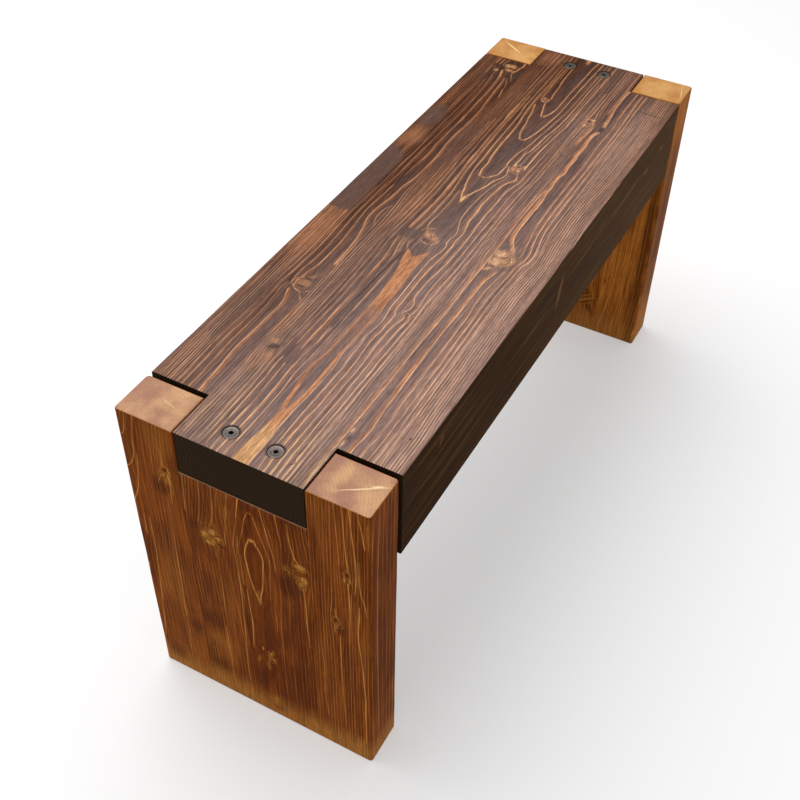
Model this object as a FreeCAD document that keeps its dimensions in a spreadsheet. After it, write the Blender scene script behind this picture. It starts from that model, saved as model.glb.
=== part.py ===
"""Low timber bench: one heavy seat beam, lapped at its ends, bolted down on two leg frames.

Each leg frame is two corner posts with a middle board dowelled between them. The posts rise
beside the beam's tongues to the height of the seat. All sizes are in millimetres. X runs
along the bench from its near end to its far end, Y from right to left across it, Z up, and
the origin is on the floor below the middle of the seat.
"""
import FreeCAD, Part
import os
import Sketcher

doc = FreeCAD.newDocument("timber_bench")
sheet = doc.addObject("Spreadsheet::Sheet", "Sizes")
# Edges are compared with planes to this distance when they are picked for easing
tolerance = 1e-4

driving_sizes = [
    ("bench_length", 925, "over the end faces of both leg frames"),
    ("bench_width", 300, "over the outer sides of the posts"),
    ("bench_height", 445, "floor to seat"),
    ("seat_depth", 120, "height of the seat beam's section"),
    ("tongue_depth", 58, "what the lap leaves of the beam above the middle boards"),
    ("near_shoulder_gap", 6, "open joint between the near posts and the beam"),
    ("far_shoulder_gap", 2, "open joint between the far posts and the beam"),
    ("tongue_side_gap", 1.5, "open joint between a tongue and the post beside it"),
    ("tongue_set_back", 1, "tongue's end behind the face of its leg frame"),
    ("seat_arris", 2, "rounding of the beam's long edges"),
    ("tongue_arris", 1, "rounding round a tongue's end"),
    ("post_thickness", 57, "post and middle board along the bench"),
    ("post_width", 72, "post across the bench"),
    ("post_corner_radius", 4, "rounding of a post's outer upright corners"),
    ("top_arris", 1.5, "bevel round the top of a post"),
    ("foot_chamfer", 2, "bevel round the foot of a post or board"),
    ("seam_chamfer", 0.6, "bevel of the upright edges that meet in a glued seam"),
    ("dowel_radius", 6, "fluted beech dowel between post and middle board"),
    ("dowel_flute_depth", 0.5, "glue flutes along a dowel"),
    ("dowel_length", 60, "half of it in each piece"),
    ("dowel_end_distance", 60, "first and last dowel from the middle board's ends"),
    ("glue_clearance", 0.1, "round a dowel or an insert"),
    ("dowel_end_room", 1.5, "glue space past each end of a dowel"),
    ("bolt_spacing", 53, "between the two bolts of one tongue"),
    ("bolt_end_distance", 30, "bolt line from the end face of the leg frame"),
    ("bolt_shank_radius", 3, "thread's outside"),
    ("bolt_hole_clearance", 0.4, "round the shank in the tongue and in the board"),
    ("bolt_head_radius", 8.6, "flat round head"),
    ("bolt_head_height", 2.2, "flat round head"),
    ("bolt_head_bevel", 0.7, "round the head's upper edge"),
    ("bolt_head_side_gap", 0.7, "between the head and the wall of its recess"),
    ("bolt_head_sunk", 0.2, "head's top below the seat"),
    ("bolt_socket_width", 4, "key size across flats"),
    ("bolt_socket_depth", 1.8, "key socket"),
    ("bolt_grip", 14, "thread held by the insert"),
    ("bolt_tip_bevel", 0.8, "end of the thread"),
    ("insert_radius", 5.5, "threaded insert's outside"),
    ("insert_length", 15, "threaded insert"),
    ("insert_bore_clearance", 0.05, "between the thread and the insert"),
    ("bolt_tip_room", 6, "hole past the tip of a bolt"),
    ("cut_overrun", 5, "how far a cut's outline passes the timber"),
]
for row, (name, value, note) in enumerate(driving_sizes, start=1):
    sheet.set(f"A{row}", name)
    sheet.set(f"B{row}", str(value))
    sheet.set(f"C{row}", note)
    sheet.setAlias(f"B{row}", name)
doc.recompute()

# Places that several pieces share, as expressions of the sheet's sizes
half_length = "Sizes.bench_length / 2"
half_width = "Sizes.bench_width / 2"
half_post_thickness = "Sizes.post_thickness / 2"
near_shoulder = f"-{half_length} + Sizes.post_thickness + Sizes.near_shoulder_gap"
far_shoulder = f"{half_length} - Sizes.post_thickness - Sizes.far_shoulder_gap"
lap_height = "Sizes.seat_depth - Sizes.tongue_depth"
board_height = "Sizes.bench_height - Sizes.tongue_depth"
half_board_width = f"({half_width} - Sizes.post_width)"
half_tongue_width = f"({half_board_width} - Sizes.tongue_side_gap)"
bolt_line = f"({half_length} - Sizes.bolt_end_distance)"
recess_depth = "(Sizes.bolt_head_height + Sizes.bolt_head_sunk)"
bolt_length = f"(Sizes.tongue_depth - {recess_depth} + Sizes.bolt_grip)"
bolt_hole_radius = "(Sizes.bolt_shank_radius + Sizes.bolt_hole_clearance)"
dowel_row_pitch = f"({board_height} - 2 * Sizes.dowel_end_distance)"

# Dowel rows as shares of the way from the lowest row to the highest
dowel_row_shares = {"low": 0.0, "middle": 0.5, "high": 1.0}
# Flutes round one dowel
dowel_flutes = 12
# The two ends and the two sides, as signs along X and Y
ends = {"near": -1, "far": 1}
sides = {"right": -1, "left": 1}


def value_of(text):
    """A sheet expression's value in plain millimetres."""
    result = sheet.evalExpression(text)
    return float(getattr(result, "Value", result))


def new_body(name):
    body = doc.addObject("PartDesign::Body", name)
    body.Label = name
    return body


def new_sketch(body, name, role, lift="0"):
    """A sketch on one of the body's own origin planes, lifted along the plane's normal."""
    plane = next(item for item in body.Origin.OriginFeatures if item.Role == role)
    sketch = body.newObject("Sketcher::SketchObject", name)
    sketch.AttachmentSupport = (plane, [""])
    sketch.MapMode = "FlatFace"
    sketch.setExpression("AttachmentOffset.Base.z", lift)
    return sketch


def hold_point(sketch, geometry, point, across, up):
    """Fixes one point of a sketch by two named expressions from the sketch's origin."""
    for kind, text in (("DistanceX", across), ("DistanceY", up)):
        place = Sketcher.Constraint(kind, -1, 1, geometry, point, value_of(text))
        index = sketch.addConstraint(place)
        sketch.setExpression(f"Constraints[{index}]", text)


def draw_outline(sketch, corners):
    """Closed straight lines through the corners, each corner a pair of expressions."""
    points = [FreeCAD.Vector(value_of(across), value_of(up), 0) for across, up in corners]
    first = sketch.GeometryCount
    count = len(corners)
    for index in range(count):
        sketch.addGeometry(Part.LineSegment(points[index], points[(index + 1) % count]))
    for index in range(count):
        after = first + (index + 1) % count
        sketch.addConstraint(Sketcher.Constraint("Coincident", first + index, 2, after, 1))
    for index, (across, up) in enumerate(corners):
        hold_point(sketch, first + index, 1, across, up)


def draw_rectangle(sketch, low, high):
    """A rectangle between two corners, each a pair of expressions."""
    draw_outline(sketch, [low, (high[0], low[1]), high, (low[0], high[1])])


def draw_circle(sketch, across, up, radius):
    centre = FreeCAD.Vector(value_of(across), value_of(up), 0)
    circle = Part.Circle(centre, FreeCAD.Vector(0, 0, 1), value_of(radius))
    geometry = sketch.addGeometry(circle)
    hold_point(sketch, geometry, 3, across, up)
    index = sketch.addConstraint(Sketcher.Constraint("Radius", geometry, value_of(radius)))
    sketch.setExpression(f"Constraints[{index}]", radius)


def pad(body, name, sketch, length, both_ways=False):
    feature = body.newObject("PartDesign::Pad", name)
    feature.Profile = sketch
    feature.SideType = "Symmetric" if both_ways else "One side"
    feature.setExpression("Length", length)
    doc.recompute()
    return feature


def pocket(body, name, sketch, depth, other_way=False):
    """Cuts a sketch into the body to a depth and checks that it took some timber away."""
    before = body.Shape.Volume
    feature = body.newObject("PartDesign::Pocket", name)
    feature.Profile = sketch
    feature.Reversed = other_way
    feature.setExpression("Length", depth)
    doc.recompute()
    if not feature.Shape.Volume < before:
        raise RuntimeError(f"{name} cuts nothing")
    return feature


def revolve(body, name, sketch):
    """Turns a half section, drawn right of the upright axis, into a round piece."""
    feature = body.newObject("PartDesign::Revolution", name)
    feature.Profile = sketch
    feature.ReferenceAxis = (sketch, ["V_Axis"])
    doc.recompute()
    return feature


def edges_where(shape, wanted):
    """Names of the edges whose bounding box passes a test."""
    return [f"Edge{number}" for number, edge in enumerate(shape.Edges, start=1)
            if wanted(edge.BoundBox)]


def ease_edges(body, name, kind, size, wanted):
    """Rounds (Fillet) or bevels (Chamfer) the body's edges that pass a test."""
    base = body.Tip
    chosen = edges_where(base.Shape, wanted)
    if not chosen:
        raise RuntimeError(f"{name} finds no edge")
    feature = body.newObject(f"PartDesign::{kind}", name)
    feature.Base = (base, chosen)
    feature.setExpression("Radius" if kind == "Fillet" else "Size", size)
    doc.recompute()
    if feature.Shape.isNull():
        raise RuntimeError(f"{name} leaves no solid")
    return feature


def is_level(box, height):
    """True for an edge that lies all at one height."""
    return abs(box.ZMin - height) < tolerance and abs(box.ZMax - height) < tolerance


def is_upright(box):
    return box.XLength < tolerance and box.YLength < tolerance


def place(body, along, across, height, turn=0):
    """Puts a finished piece in the bench by expressions, turned about the upright."""
    upright = FreeCAD.Vector(0, 0, 1)
    body.Placement = FreeCAD.Placement(FreeCAD.Vector(), FreeCAD.Rotation(upright, turn))
    for axis, text in zip("xyz", (along, across, height)):
        body.setExpression(f"Placement.Base.{axis}", text)


def make_seat_beam():
    """The seat: one solid timber, halved underneath at both ends and notched for the posts."""
    body = new_body("seat_beam")
    side = new_sketch(body, "seat_side_outline", "XZ_Plane")
    near_end = f"-{half_length} + Sizes.tongue_set_back"
    far_end = f"{half_length} - Sizes.tongue_set_back"
    draw_outline(side, [(near_end, "Sizes.seat_depth"), (near_end, lap_height),
                        (near_shoulder, lap_height), (near_shoulder, "0"),
                        (far_shoulder, "0"), (far_shoulder, lap_height),
                        (far_end, lap_height), (far_end, "Sizes.seat_depth")])
    pad(body, "seat_timber", side, "Sizes.bench_width", both_ways=True)
    notches = new_sketch(body, "post_notches", "XY_Plane", "Sizes.seat_depth")
    for shoulder, sign in ((near_shoulder, "-"), (far_shoulder, "")):
        past_end = f"{sign}({half_length} + Sizes.cut_overrun)"
        for side_sign in ("-", ""):
            past_side = f"{side_sign}({half_width} + Sizes.cut_overrun)"
            draw_rectangle(notches, (past_end, f"{side_sign}{half_tongue_width}"),
                           (shoulder, past_side))
    pocket(body, "notched_ends", notches, "Sizes.seat_depth")
    side_face = value_of(half_width)
    end_face = value_of(far_end)

    def is_long_arris(box):
        outermost = abs(abs(box.YMin) - side_face) < tolerance and box.YLength < tolerance
        return outermost and box.XLength > side_face

    def is_end_arris(box):
        return box.XLength < tolerance and abs(abs(box.XMin) - end_face) < tolerance

    ease_edges(body, "eased_long_edges", "Fillet", "Sizes.seat_arris", is_long_arris)
    ease_edges(body, "eased_tongue_ends", "Fillet", "Sizes.tongue_arris", is_end_arris)
    recesses = new_sketch(body, "bolt_head_recesses", "XY_Plane", "Sizes.seat_depth")
    holes = new_sketch(body, "bolt_shank_holes", "XY_Plane", "Sizes.seat_depth")
    for sign in ("-", ""):
        for side_sign in ("-", ""):
            spot = (f"{sign}{bolt_line}", f"{side_sign}Sizes.bolt_spacing / 2")
            draw_circle(recesses, *spot, "Sizes.bolt_head_radius + Sizes.bolt_head_side_gap")
            draw_circle(holes, *spot, bolt_hole_radius)
    pocket(body, "recessed_for_heads", recesses, recess_depth)
    pocket(body, "bored_for_bolts", holes, "Sizes.tongue_depth")
    place(body, "0", "0", "Sizes.bench_height - Sizes.seat_depth")
    return body


def bore_for_dowels(body, side_name, half_piece_width):
    """Three blind holes in the side of a piece that faces the glued seam."""
    sign = "" if side_name == "right" else "-"
    name = f"{body.Label}_{side_name}"
    seam = new_sketch(body, f"{name}_dowel_marks", "XZ_Plane", f"{sign}{half_piece_width}")
    for share in dowel_row_shares.values():
        draw_circle(seam, "0", f"Sizes.dowel_end_distance + {share} * {dowel_row_pitch}",
                    "Sizes.dowel_radius + Sizes.glue_clearance")
    pocket(body, f"{name}_dowel_holes", seam, "Sizes.dowel_length / 2 + Sizes.dowel_end_room",
           other_way=side_name == "left")


def make_post(end, side):
    """A corner post, drawn with its glued side to the right and turned round for the right."""
    body = new_body(f"{end}_{side}_post")
    section = new_sketch(body, f"{body.Label}_section", "XY_Plane")
    draw_rectangle(section, (f"-{half_post_thickness}", "-Sizes.post_width / 2"),
                   (half_post_thickness, "Sizes.post_width / 2"))
    pad(body, f"{body.Label}_timber", section, "Sizes.bench_height")
    seam = value_of("-Sizes.post_width / 2")
    top = value_of("Sizes.bench_height")

    def is_seam_corner(box):
        return is_upright(box) and box.YMin < seam + tolerance

    def is_outer_corner(box):
        return is_upright(box) and box.YMin > 0

    ease_edges(body, f"{body.Label}_corners", "Fillet", "Sizes.post_corner_radius",
               is_outer_corner)
    ease_edges(body, f"{body.Label}_top", "Chamfer", "Sizes.top_arris",
               lambda box: is_level(box, top))
    ease_edges(body, f"{body.Label}_seam_edges", "Chamfer", "Sizes.seam_chamfer", is_seam_corner)
    ease_edges(body, f"{body.Label}_foot", "Chamfer", "Sizes.foot_chamfer",
               lambda box: is_level(box, 0) and box.YMin > seam + tolerance)
    bore_for_dowels(body, "right", "Sizes.post_width / 2")
    along = f"{ends[end]} * ({half_length} - {half_post_thickness})"
    across = f"{sides[side]} * ({half_width} - Sizes.post_width / 2)"
    place(body, along, across, "0", turn=0 if side == "left" else 180)
    return body


def make_middle_board(end):
    """The board between two posts, cut short by the tongue's depth that it carries."""
    body = new_body(f"{end}_middle_board")
    section = new_sketch(body, f"{body.Label}_section", "XY_Plane")
    draw_rectangle(section, (f"-{half_post_thickness}", f"-{half_board_width}"),
                   (half_post_thickness, half_board_width))
    pad(body, f"{body.Label}_timber", section, board_height)
    ease_edges(body, f"{body.Label}_seam_edges", "Chamfer", "Sizes.seam_chamfer", is_upright)
    ease_edges(body, f"{body.Label}_foot", "Chamfer", "Sizes.foot_chamfer",
               lambda box: is_level(box, 0) and box.YLength > box.XLength)
    for side_name in sides:
        bore_for_dowels(body, side_name, half_board_width)
    seats = new_sketch(body, f"{body.Label}_insert_seats", "XY_Plane", board_height)
    pilots = new_sketch(body, f"{body.Label}_tip_rooms", "XY_Plane", board_height)
    bolt_offset = f"({half_post_thickness} - Sizes.bolt_end_distance)"
    for side_sign in ("-", ""):
        spot = (f"{ends[end]} * {bolt_offset}", f"{side_sign}Sizes.bolt_spacing / 2")
        draw_circle(seats, *spot, "Sizes.insert_radius + Sizes.glue_clearance")
        draw_circle(pilots, *spot, bolt_hole_radius)
    pocket(body, f"{body.Label}_insert_holes", seats, "Sizes.insert_length")
    pocket(body, f"{body.Label}_tip_holes", pilots,
           "max(Sizes.insert_length; Sizes.bolt_grip) + Sizes.bolt_tip_room")
    place(body, f"{ends[end]} * ({half_length} - {half_post_thickness})", "0", "0")
    return body


def make_dowel(end, side, row):
    """A fluted beech dowel across the seam, half in the post and half in the middle board."""
    body = new_body(f"{end}_{side}_dowel_{row}")
    section = new_sketch(body, f"{body.Label}_section", "XZ_Plane")
    crest = "Sizes.dowel_radius"
    valley = "(Sizes.dowel_radius - Sizes.dowel_flute_depth)"
    corners = []
    for step in range(dowel_flutes):
        for radius, turn in ((crest, step), (valley, step + 0.5)):
            angle = f"{turn} * 360 deg / {dowel_flutes}"
            corners.append((f"{radius} * cos({angle})", f"{radius} * sin({angle})"))
    draw_outline(section, corners)
    pad(body, f"{body.Label}_rod", section, "Sizes.dowel_length", both_ways=True)
    share = dowel_row_shares[row]
    place(body, f"{ends[end]} * ({half_length} - {half_post_thickness})",
          f"{sides[side]} * {half_board_width}",
          f"Sizes.dowel_end_distance + {share} * {dowel_row_pitch}")
    return body


def make_bolt(end, side):
    """A flat head connector bolt with a key socket, head up, its origin under the head."""
    body = new_body(f"{end}_{side}_bolt")
    section = new_sketch(body, f"{body.Label}_half_section", "XZ_Plane")
    flat_radius = "Sizes.bolt_head_radius - Sizes.bolt_head_bevel"
    tip_radius = "Sizes.bolt_shank_radius - Sizes.bolt_tip_bevel"
    draw_outline(section, [("0", "Sizes.bolt_head_height"),
                           (flat_radius, "Sizes.bolt_head_height"),
                           ("Sizes.bolt_head_radius",
                            "Sizes.bolt_head_height - Sizes.bolt_head_bevel"),
                           ("Sizes.bolt_head_radius", "0"),
                           ("Sizes.bolt_shank_radius", "0"),
                           ("Sizes.bolt_shank_radius",
                            f"-{bolt_length} + Sizes.bolt_tip_bevel"),
                           (tip_radius, f"-{bolt_length}"),
                           ("0", f"-{bolt_length}")])
    revolve(body, f"{body.Label}_turned", section)
    socket = new_sketch(body, f"{body.Label}_socket_outline", "XY_Plane",
                        "Sizes.bolt_head_height")
    corner = "Sizes.bolt_socket_width / sqrt(3)"
    turns = [f"{step} * 60 deg" for step in range(6)]
    draw_outline(socket, [(f"{corner} * cos({turn})", f"{corner} * sin({turn})")
                          for turn in turns])
    pocket(body, f"{body.Label}_socket", socket, "Sizes.bolt_socket_depth")
    place(body, f"{ends[end]} * {bolt_line}", f"{sides[side]} * Sizes.bolt_spacing / 2",
          f"Sizes.bench_height - {recess_depth}")
    return body


def make_insert(end, side):
    """The threaded insert that the bolt pulls on, its origin at its top."""
    body = new_body(f"{end}_{side}_insert")
    section = new_sketch(body, f"{body.Label}_half_section", "XZ_Plane")
    bore = "Sizes.bolt_shank_radius + Sizes.insert_bore_clearance"
    draw_rectangle(section, (bore, "-Sizes.insert_length"), ("Sizes.insert_radius", "0"))
    revolve(body, f"{body.Label}_turned", section)
    place(body, f"{ends[end]} * {bolt_line}", f"{sides[side]} * Sizes.bolt_spacing / 2",
          board_height)
    return body


pieces = [make_seat_beam()]
for end in ends:
    pieces.append(make_middle_board(end))
    for side in sides:
        pieces.append(make_post(end, side))
        pieces.append(make_bolt(end, side))
        pieces.append(make_insert(end, side))
        for row in dowel_row_shares:
            pieces.append(make_dowel(end, side, row))
doc.recompute()

for item in doc.Objects:
    if "Invalid" in item.State or "Error" in item.State:
        raise RuntimeError(f"{item.Label} is {item.State}")
os.makedirs("parts", exist_ok=True)
for piece in pieces:
    shape = piece.Shape
    if shape.isNull() or not shape.isValid() or len(shape.Solids) != 1:
        raise RuntimeError(f"{piece.Label} is not one valid solid")
for piece in pieces:
    piece.Shape.exportStep(f"parts/{piece.Label}.step")
    print(f"{piece.Label}: {piece.Shape.Volume:.1f} cubic millimetres")
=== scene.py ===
"""A low timber bench, dressed for show around its packed construction.

A heavy dark seat beam lies on two honey brown leg frames and is bolted down through its ends.
Lengths are in metres, in the construction's own frame: X along the bench, Y across it to the
left, Z up. Patterns in the timber are drawn in millimetres.
"""
import math
import bmesh
import bpy
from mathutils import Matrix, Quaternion, Vector, noise


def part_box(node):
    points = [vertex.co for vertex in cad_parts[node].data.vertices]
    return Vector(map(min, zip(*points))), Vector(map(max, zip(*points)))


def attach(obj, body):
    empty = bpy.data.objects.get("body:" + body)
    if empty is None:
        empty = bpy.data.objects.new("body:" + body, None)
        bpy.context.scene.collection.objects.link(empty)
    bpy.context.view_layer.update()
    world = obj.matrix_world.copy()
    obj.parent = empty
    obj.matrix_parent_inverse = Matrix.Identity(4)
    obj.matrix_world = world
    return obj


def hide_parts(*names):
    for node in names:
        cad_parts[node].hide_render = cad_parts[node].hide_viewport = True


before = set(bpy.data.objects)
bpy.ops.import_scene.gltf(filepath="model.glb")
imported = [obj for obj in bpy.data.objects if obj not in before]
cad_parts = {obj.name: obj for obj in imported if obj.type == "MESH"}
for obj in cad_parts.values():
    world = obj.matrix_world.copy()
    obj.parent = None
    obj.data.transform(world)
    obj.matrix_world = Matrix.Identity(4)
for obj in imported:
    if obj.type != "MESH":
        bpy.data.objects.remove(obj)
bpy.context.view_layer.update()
mm = 0.001

# The seat beam: one solid softwood timber, sawn, its top brushed so that the hard late wood
# stands up as pale lines, and stained dark. Its underside is halved away at both ends and its
# corners are notched, which leaves a tongue at each end between two posts.


class Number:
    """A number that varies over a surface. Sums with it add Math nodes to its material."""

    def __init__(self, tree, socket):
        self.tree = tree
        self.socket = socket

    def __add__(self, other):
        return reckon("ADD", self, other)

    def __sub__(self, other):
        return reckon("SUBTRACT", self, other)

    def __rsub__(self, other):
        return reckon("SUBTRACT", other, self)

    def __mul__(self, other):
        return reckon("MULTIPLY", self, other)

    def __truediv__(self, other):
        return reckon("DIVIDE", self, other)

    __radd__ = __add__
    __rmul__ = __mul__


def reckon(operation, *values):
    """One Math node on numbers, plain or varying."""
    tree = next(value.tree for value in values if isinstance(value, Number))
    node = tree.nodes.new("ShaderNodeMath")
    node.operation = operation
    for socket, value in zip(node.inputs, values):
        if isinstance(value, Number):
            tree.links.new(value.socket, socket)
        else:
            socket.default_value = value
    return Number(tree, node.outputs[0])


def ramp(number, start, end, top=1.0):
    """Rises smoothly from 0 at start to the top at end, where start may be the larger."""
    node = number.tree.nodes.new("ShaderNodeMapRange")
    node.interpolation_type = "SMOOTHSTEP"
    number.tree.links.new(number.socket, node.inputs["Value"])
    node.inputs["From Min"].default_value = start
    node.inputs["From Max"].default_value = end
    node.inputs["To Max"].default_value = top
    return Number(number.tree, node.outputs["Result"])


def follow(number, points, smooth=True):
    """A curve drawn through points, each a pair of the number and the result there."""
    tree = number.tree
    first, last = points[0][0], points[-1][0]
    lowest = min(result for _, result in points)
    rise = max(result for _, result in points) - lowest or 1.0
    node = tree.nodes.new("ShaderNodeFloatCurve")
    curve = node.mapping.curves[0]
    for _ in points[2:]:
        curve.points.new(0.5, 0.5)
    for spot, (place, result) in zip(curve.points, points):
        spot.location = ((place - first) / (last - first), (result - lowest) / rise)
        spot.handle_type = "AUTO_CLAMPED" if smooth else "VECTOR"
    node.mapping.update()
    share = (number - first) / (last - first)
    tree.links.new(share.socket, node.inputs["Value"])
    return Number(tree, node.outputs[0]) * rise + lowest


def speckle(place, lengths, seed, detail=2.0, roughness=0.5):
    """Soft noise about 0, from -0.5 to 0.5, whose blots have the lengths along X, Y and Z."""
    tree = place.id_data
    mapping = tree.nodes.new("ShaderNodeMapping")
    mapping.inputs["Location"].default_value = (seed, 2 * seed, 3 * seed)
    mapping.inputs["Scale"].default_value = tuple(1 / length for length in lengths)
    tree.links.new(place, mapping.inputs["Vector"])
    node = tree.nodes.new("ShaderNodeTexNoise")
    node.inputs["Scale"].default_value = 1.0
    node.inputs["Detail"].default_value = detail
    node.inputs["Roughness"].default_value = roughness
    tree.links.new(mapping.outputs[0], node.inputs["Vector"])
    return Number(tree, node.outputs["Fac"]) - 0.5


def chance(number):
    """The same random number from 0 to 1 wherever the given number is the same."""
    node = number.tree.nodes.new("ShaderNodeTexWhiteNoise")
    node.noise_dimensions = "1D"
    number.tree.links.new(number.socket, node.inputs["W"])
    return Number(number.tree, node.outputs["Value"])


def blend(share, first, second):
    """A colour that goes from first to second as the share goes from 0 to 1."""
    tree = share.tree
    node = tree.nodes.new("ShaderNodeMix")
    node.data_type = "RGBA"
    tree.links.new(share.socket, node.inputs["Factor"])
    for name, colour in (("A", first), ("B", second)):
        socket = [item for item in node.inputs if item.name == name and item.type == "RGBA"][0]
        if isinstance(colour, tuple):
            socket.default_value = (*colour, 1.0)
        else:
            tree.links.new(colour, socket)
    return [item for item in node.outputs if item.type == "RGBA"][0]


def new_finish(name):
    """A material, its place on the piece in millimetres, and that place's three parts."""
    material = bpy.data.materials.new(name)
    material.use_nodes = True
    tree = material.node_tree
    where = tree.nodes.new("ShaderNodeTexCoord")
    scale = tree.nodes.new("ShaderNodeMapping")
    scale.inputs["Scale"].default_value = (1 / mm, 1 / mm, 1 / mm)
    tree.links.new(where.outputs["Object"], scale.inputs["Vector"])
    parts = tree.nodes.new("ShaderNodeSeparateXYZ")
    tree.links.new(scale.outputs[0], parts.inputs[0])
    return material, scale.outputs[0], [Number(tree, socket) for socket in parts.outputs]


def facing(tree):
    """The three parts of the surface's own direction, without bumps."""
    geometry = tree.nodes.new("ShaderNodeNewGeometry")
    parts = tree.nodes.new("ShaderNodeSeparateXYZ")
    tree.links.new(geometry.outputs["Normal"], parts.inputs[0])
    return [Number(tree, socket) for socket in parts.outputs]


def varnish(material, colour, roughness, relief, height, **uniform):
    """Joins colour, roughness and a relief, in millimetres high, to the surface shader."""
    tree = material.node_tree
    shader = tree.nodes["Principled BSDF"]
    bump = tree.nodes.new("ShaderNodeBump")
    bump.inputs["Strength"].default_value = 1.0
    bump.inputs["Distance"].default_value = height * mm
    tree.links.new(relief.socket, bump.inputs["Height"])
    tree.links.new(bump.outputs[0], shader.inputs["Normal"])
    tree.links.new(colour, shader.inputs["Base Color"])
    tree.links.new(roughness.socket, shader.inputs["Roughness"])
    for name, value in uniform.items():
        shader.inputs[name.replace("_", " ")].default_value = value
    return material


def absolute(number):
    """A number without its sign."""
    return reckon("ABSOLUTE", number)


def distance_of(first, second):
    """How far from the middle a point lies, from its two parts."""
    return reckon("SQRT", first * first + second * second)


def between(number, low, high, edge=0.8):
    """1 where a number lies between two others, with soft edges."""
    return ramp(number - low, -edge, edge) * ramp(high - number, -edge, edge)


def vector_math(operation, *vectors, output="Vector"):
    """One result of a Vector Math node."""
    tree = vectors[0].id_data
    node = tree.nodes.new("ShaderNodeVectorMath")
    node.operation = operation
    for socket, vector in zip(node.inputs, vectors):
        tree.links.new(vector, socket)
    return node.outputs[output]


def three_curves(share, curves, smooth):
    """Three curves drawn through points, one for each part of a vector."""
    tree = share.tree
    node = tree.nodes.new("ShaderNodeVectorCurve")
    node.mapping.use_clip = False
    node.mapping.extend = "HORIZONTAL"
    for curve, points in zip(node.mapping.curves, curves):
        for _ in points[2:]:
            curve.points.new(0.5, 0.5)
        for spot, location in zip(curve.points, points):
            spot.location = location
            spot.handle_type = "AUTO_CLAMPED" if smooth else "VECTOR"
    node.mapping.update()
    tree.links.new(share.socket, node.inputs["Vector"])
    return node.outputs["Vector"]


def three_ramps(vector, starts, ends, tops=(1.0, 1.0, 1.0)):
    """A ramp for each part of a vector."""
    node = vector.id_data.nodes.new("ShaderNodeMapRange")
    node.data_type = "FLOAT_VECTOR"
    node.interpolation_type = "SMOOTHSTEP"
    sockets = {socket.identifier: socket for socket in node.inputs}
    vector.id_data.links.new(vector, sockets["Vector"])
    sockets["From_Min_FLOAT3"].default_value = starts
    sockets["From_Max_FLOAT3"].default_value = ends
    sockets["To_Max_FLOAT3"].default_value = tops
    return node.outputs["Vector"]


def largest_part(tree, vector):
    """The largest of a vector's three parts, or nothing where there is no vector."""
    parts = tree.nodes.new("ShaderNodeSeparateXYZ")
    if vector:
        tree.links.new(vector, parts.inputs[0])
    first, second, third = (Number(tree, socket) for socket in parts.outputs)
    return reckon("MAXIMUM", reckon("MAXIMUM", first, second), third)


def grown_lines(along, across, low, high, lines, heart):
    """The lines of late wood between two places, and the warm sides they have towards the heart.

    Each has half the width of its bright edge, the width of its warm side and how warm that is,
    and its route: places along and across, with the strength there in tenths.
    """
    tree = along.tree
    overlap = 6
    fading = 4
    centre, half = (low + high) / 2, (high - low) / 2
    share = (along - centre) / half
    aside = (across * mm).socket
    present = []
    for *widths, route in lines:
        if route[0][0] < high + overlap and route[-1][0] > low - overlap:
            start = sum(point[0] < low - overlap for point in route[1:])
            end = sum(point[0] < high + overlap for point in route)
            present.append((*widths, 1 if sum(point[1] - heart for point in route) > 0 else -1,
                            route[max(start - 1, 0):end + 2]))
    # One node draws three lines, so the last line fills up the last three
    present += present[-1:] * (-len(present) % 3)
    edges = warm_sides = None
    for trio in zip(present[0::3], present[1::3], present[2::3]):
        middles = [[((place - centre) / half, side * mm) for place, side, _ in route]
                   for *_, route in trio]
        powers = [[((route[0][0] - fading - centre) / half, 0.0),
                   *(((place - centre) / half, tenths / 10) for place, _, tenths in route),
                   ((route[-1][0] + fading - centre) / half, 0.0)] for *_, route in trio]
        beyond = vector_math("SUBTRACT", aside, three_curves(share, middles, True))
        strength = three_curves(share, powers, False)
        edge = three_ramps(vector_math("ABSOLUTE", beyond), [line[0] * mm for line in trio],
                           [line[0] * mm * 0.3 for line in trio])
        edge = vector_math("MULTIPLY", edge, strength)
        inner = three_ramps(beyond, [-(line[1] + 1.0) * line[3] * mm for line in trio],
                            [-line[1] * line[3] * mm * 0.25 for line in trio],
                            [line[2] * 0.75 + 0.25 for line in trio])
        outer = three_ramps(beyond, [line[0] * line[3] * mm for line in trio], [0.0] * 3)
        warm_side = vector_math("MULTIPLY", vector_math("MULTIPLY", inner, outer), strength)
        edges = vector_math("MAXIMUM", edges, edge) if edges else edge
        warm_sides = vector_math("MAXIMUM", warm_sides, warm_side) if warm_sides else warm_side
    return largest_part(tree, edges), largest_part(tree, warm_sides)


def shaken(first, second, place, seed, length, amount):
    """A spot on a face, moved a little to and fro so that what is drawn there comes out uneven."""
    tree = place.id_data
    shift_first = speckle(place, (length, length, length), seed) * (2.0 * amount)
    shift_second = speckle(place, (length, length, length), seed + 20.0) * (2.0 * amount)
    spot = tree.nodes.new("ShaderNodeCombineXYZ")
    tree.links.new((first + shift_first).socket, spot.inputs[0])
    tree.links.new((second + shift_second).socket, spot.inputs[1])
    return spot.outputs[0]


def seen_from(spot, along, across, half_long, half_short, turn):
    """The spot as measured from a mark's middle, in its own half lengths and turned with it."""
    mapping = spot.id_data.nodes.new("ShaderNodeMapping")
    mapping.vector_type = "TEXTURE"
    mapping.inputs["Location"].default_value = (along, across, 0)
    mapping.inputs["Rotation"].default_value = (0, 0, math.radians(turn))
    mapping.inputs["Scale"].default_value = (half_long, half_short, 1)
    spot.id_data.links.new(spot, mapping.inputs["Vector"])
    return mapping.outputs[0]


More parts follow.
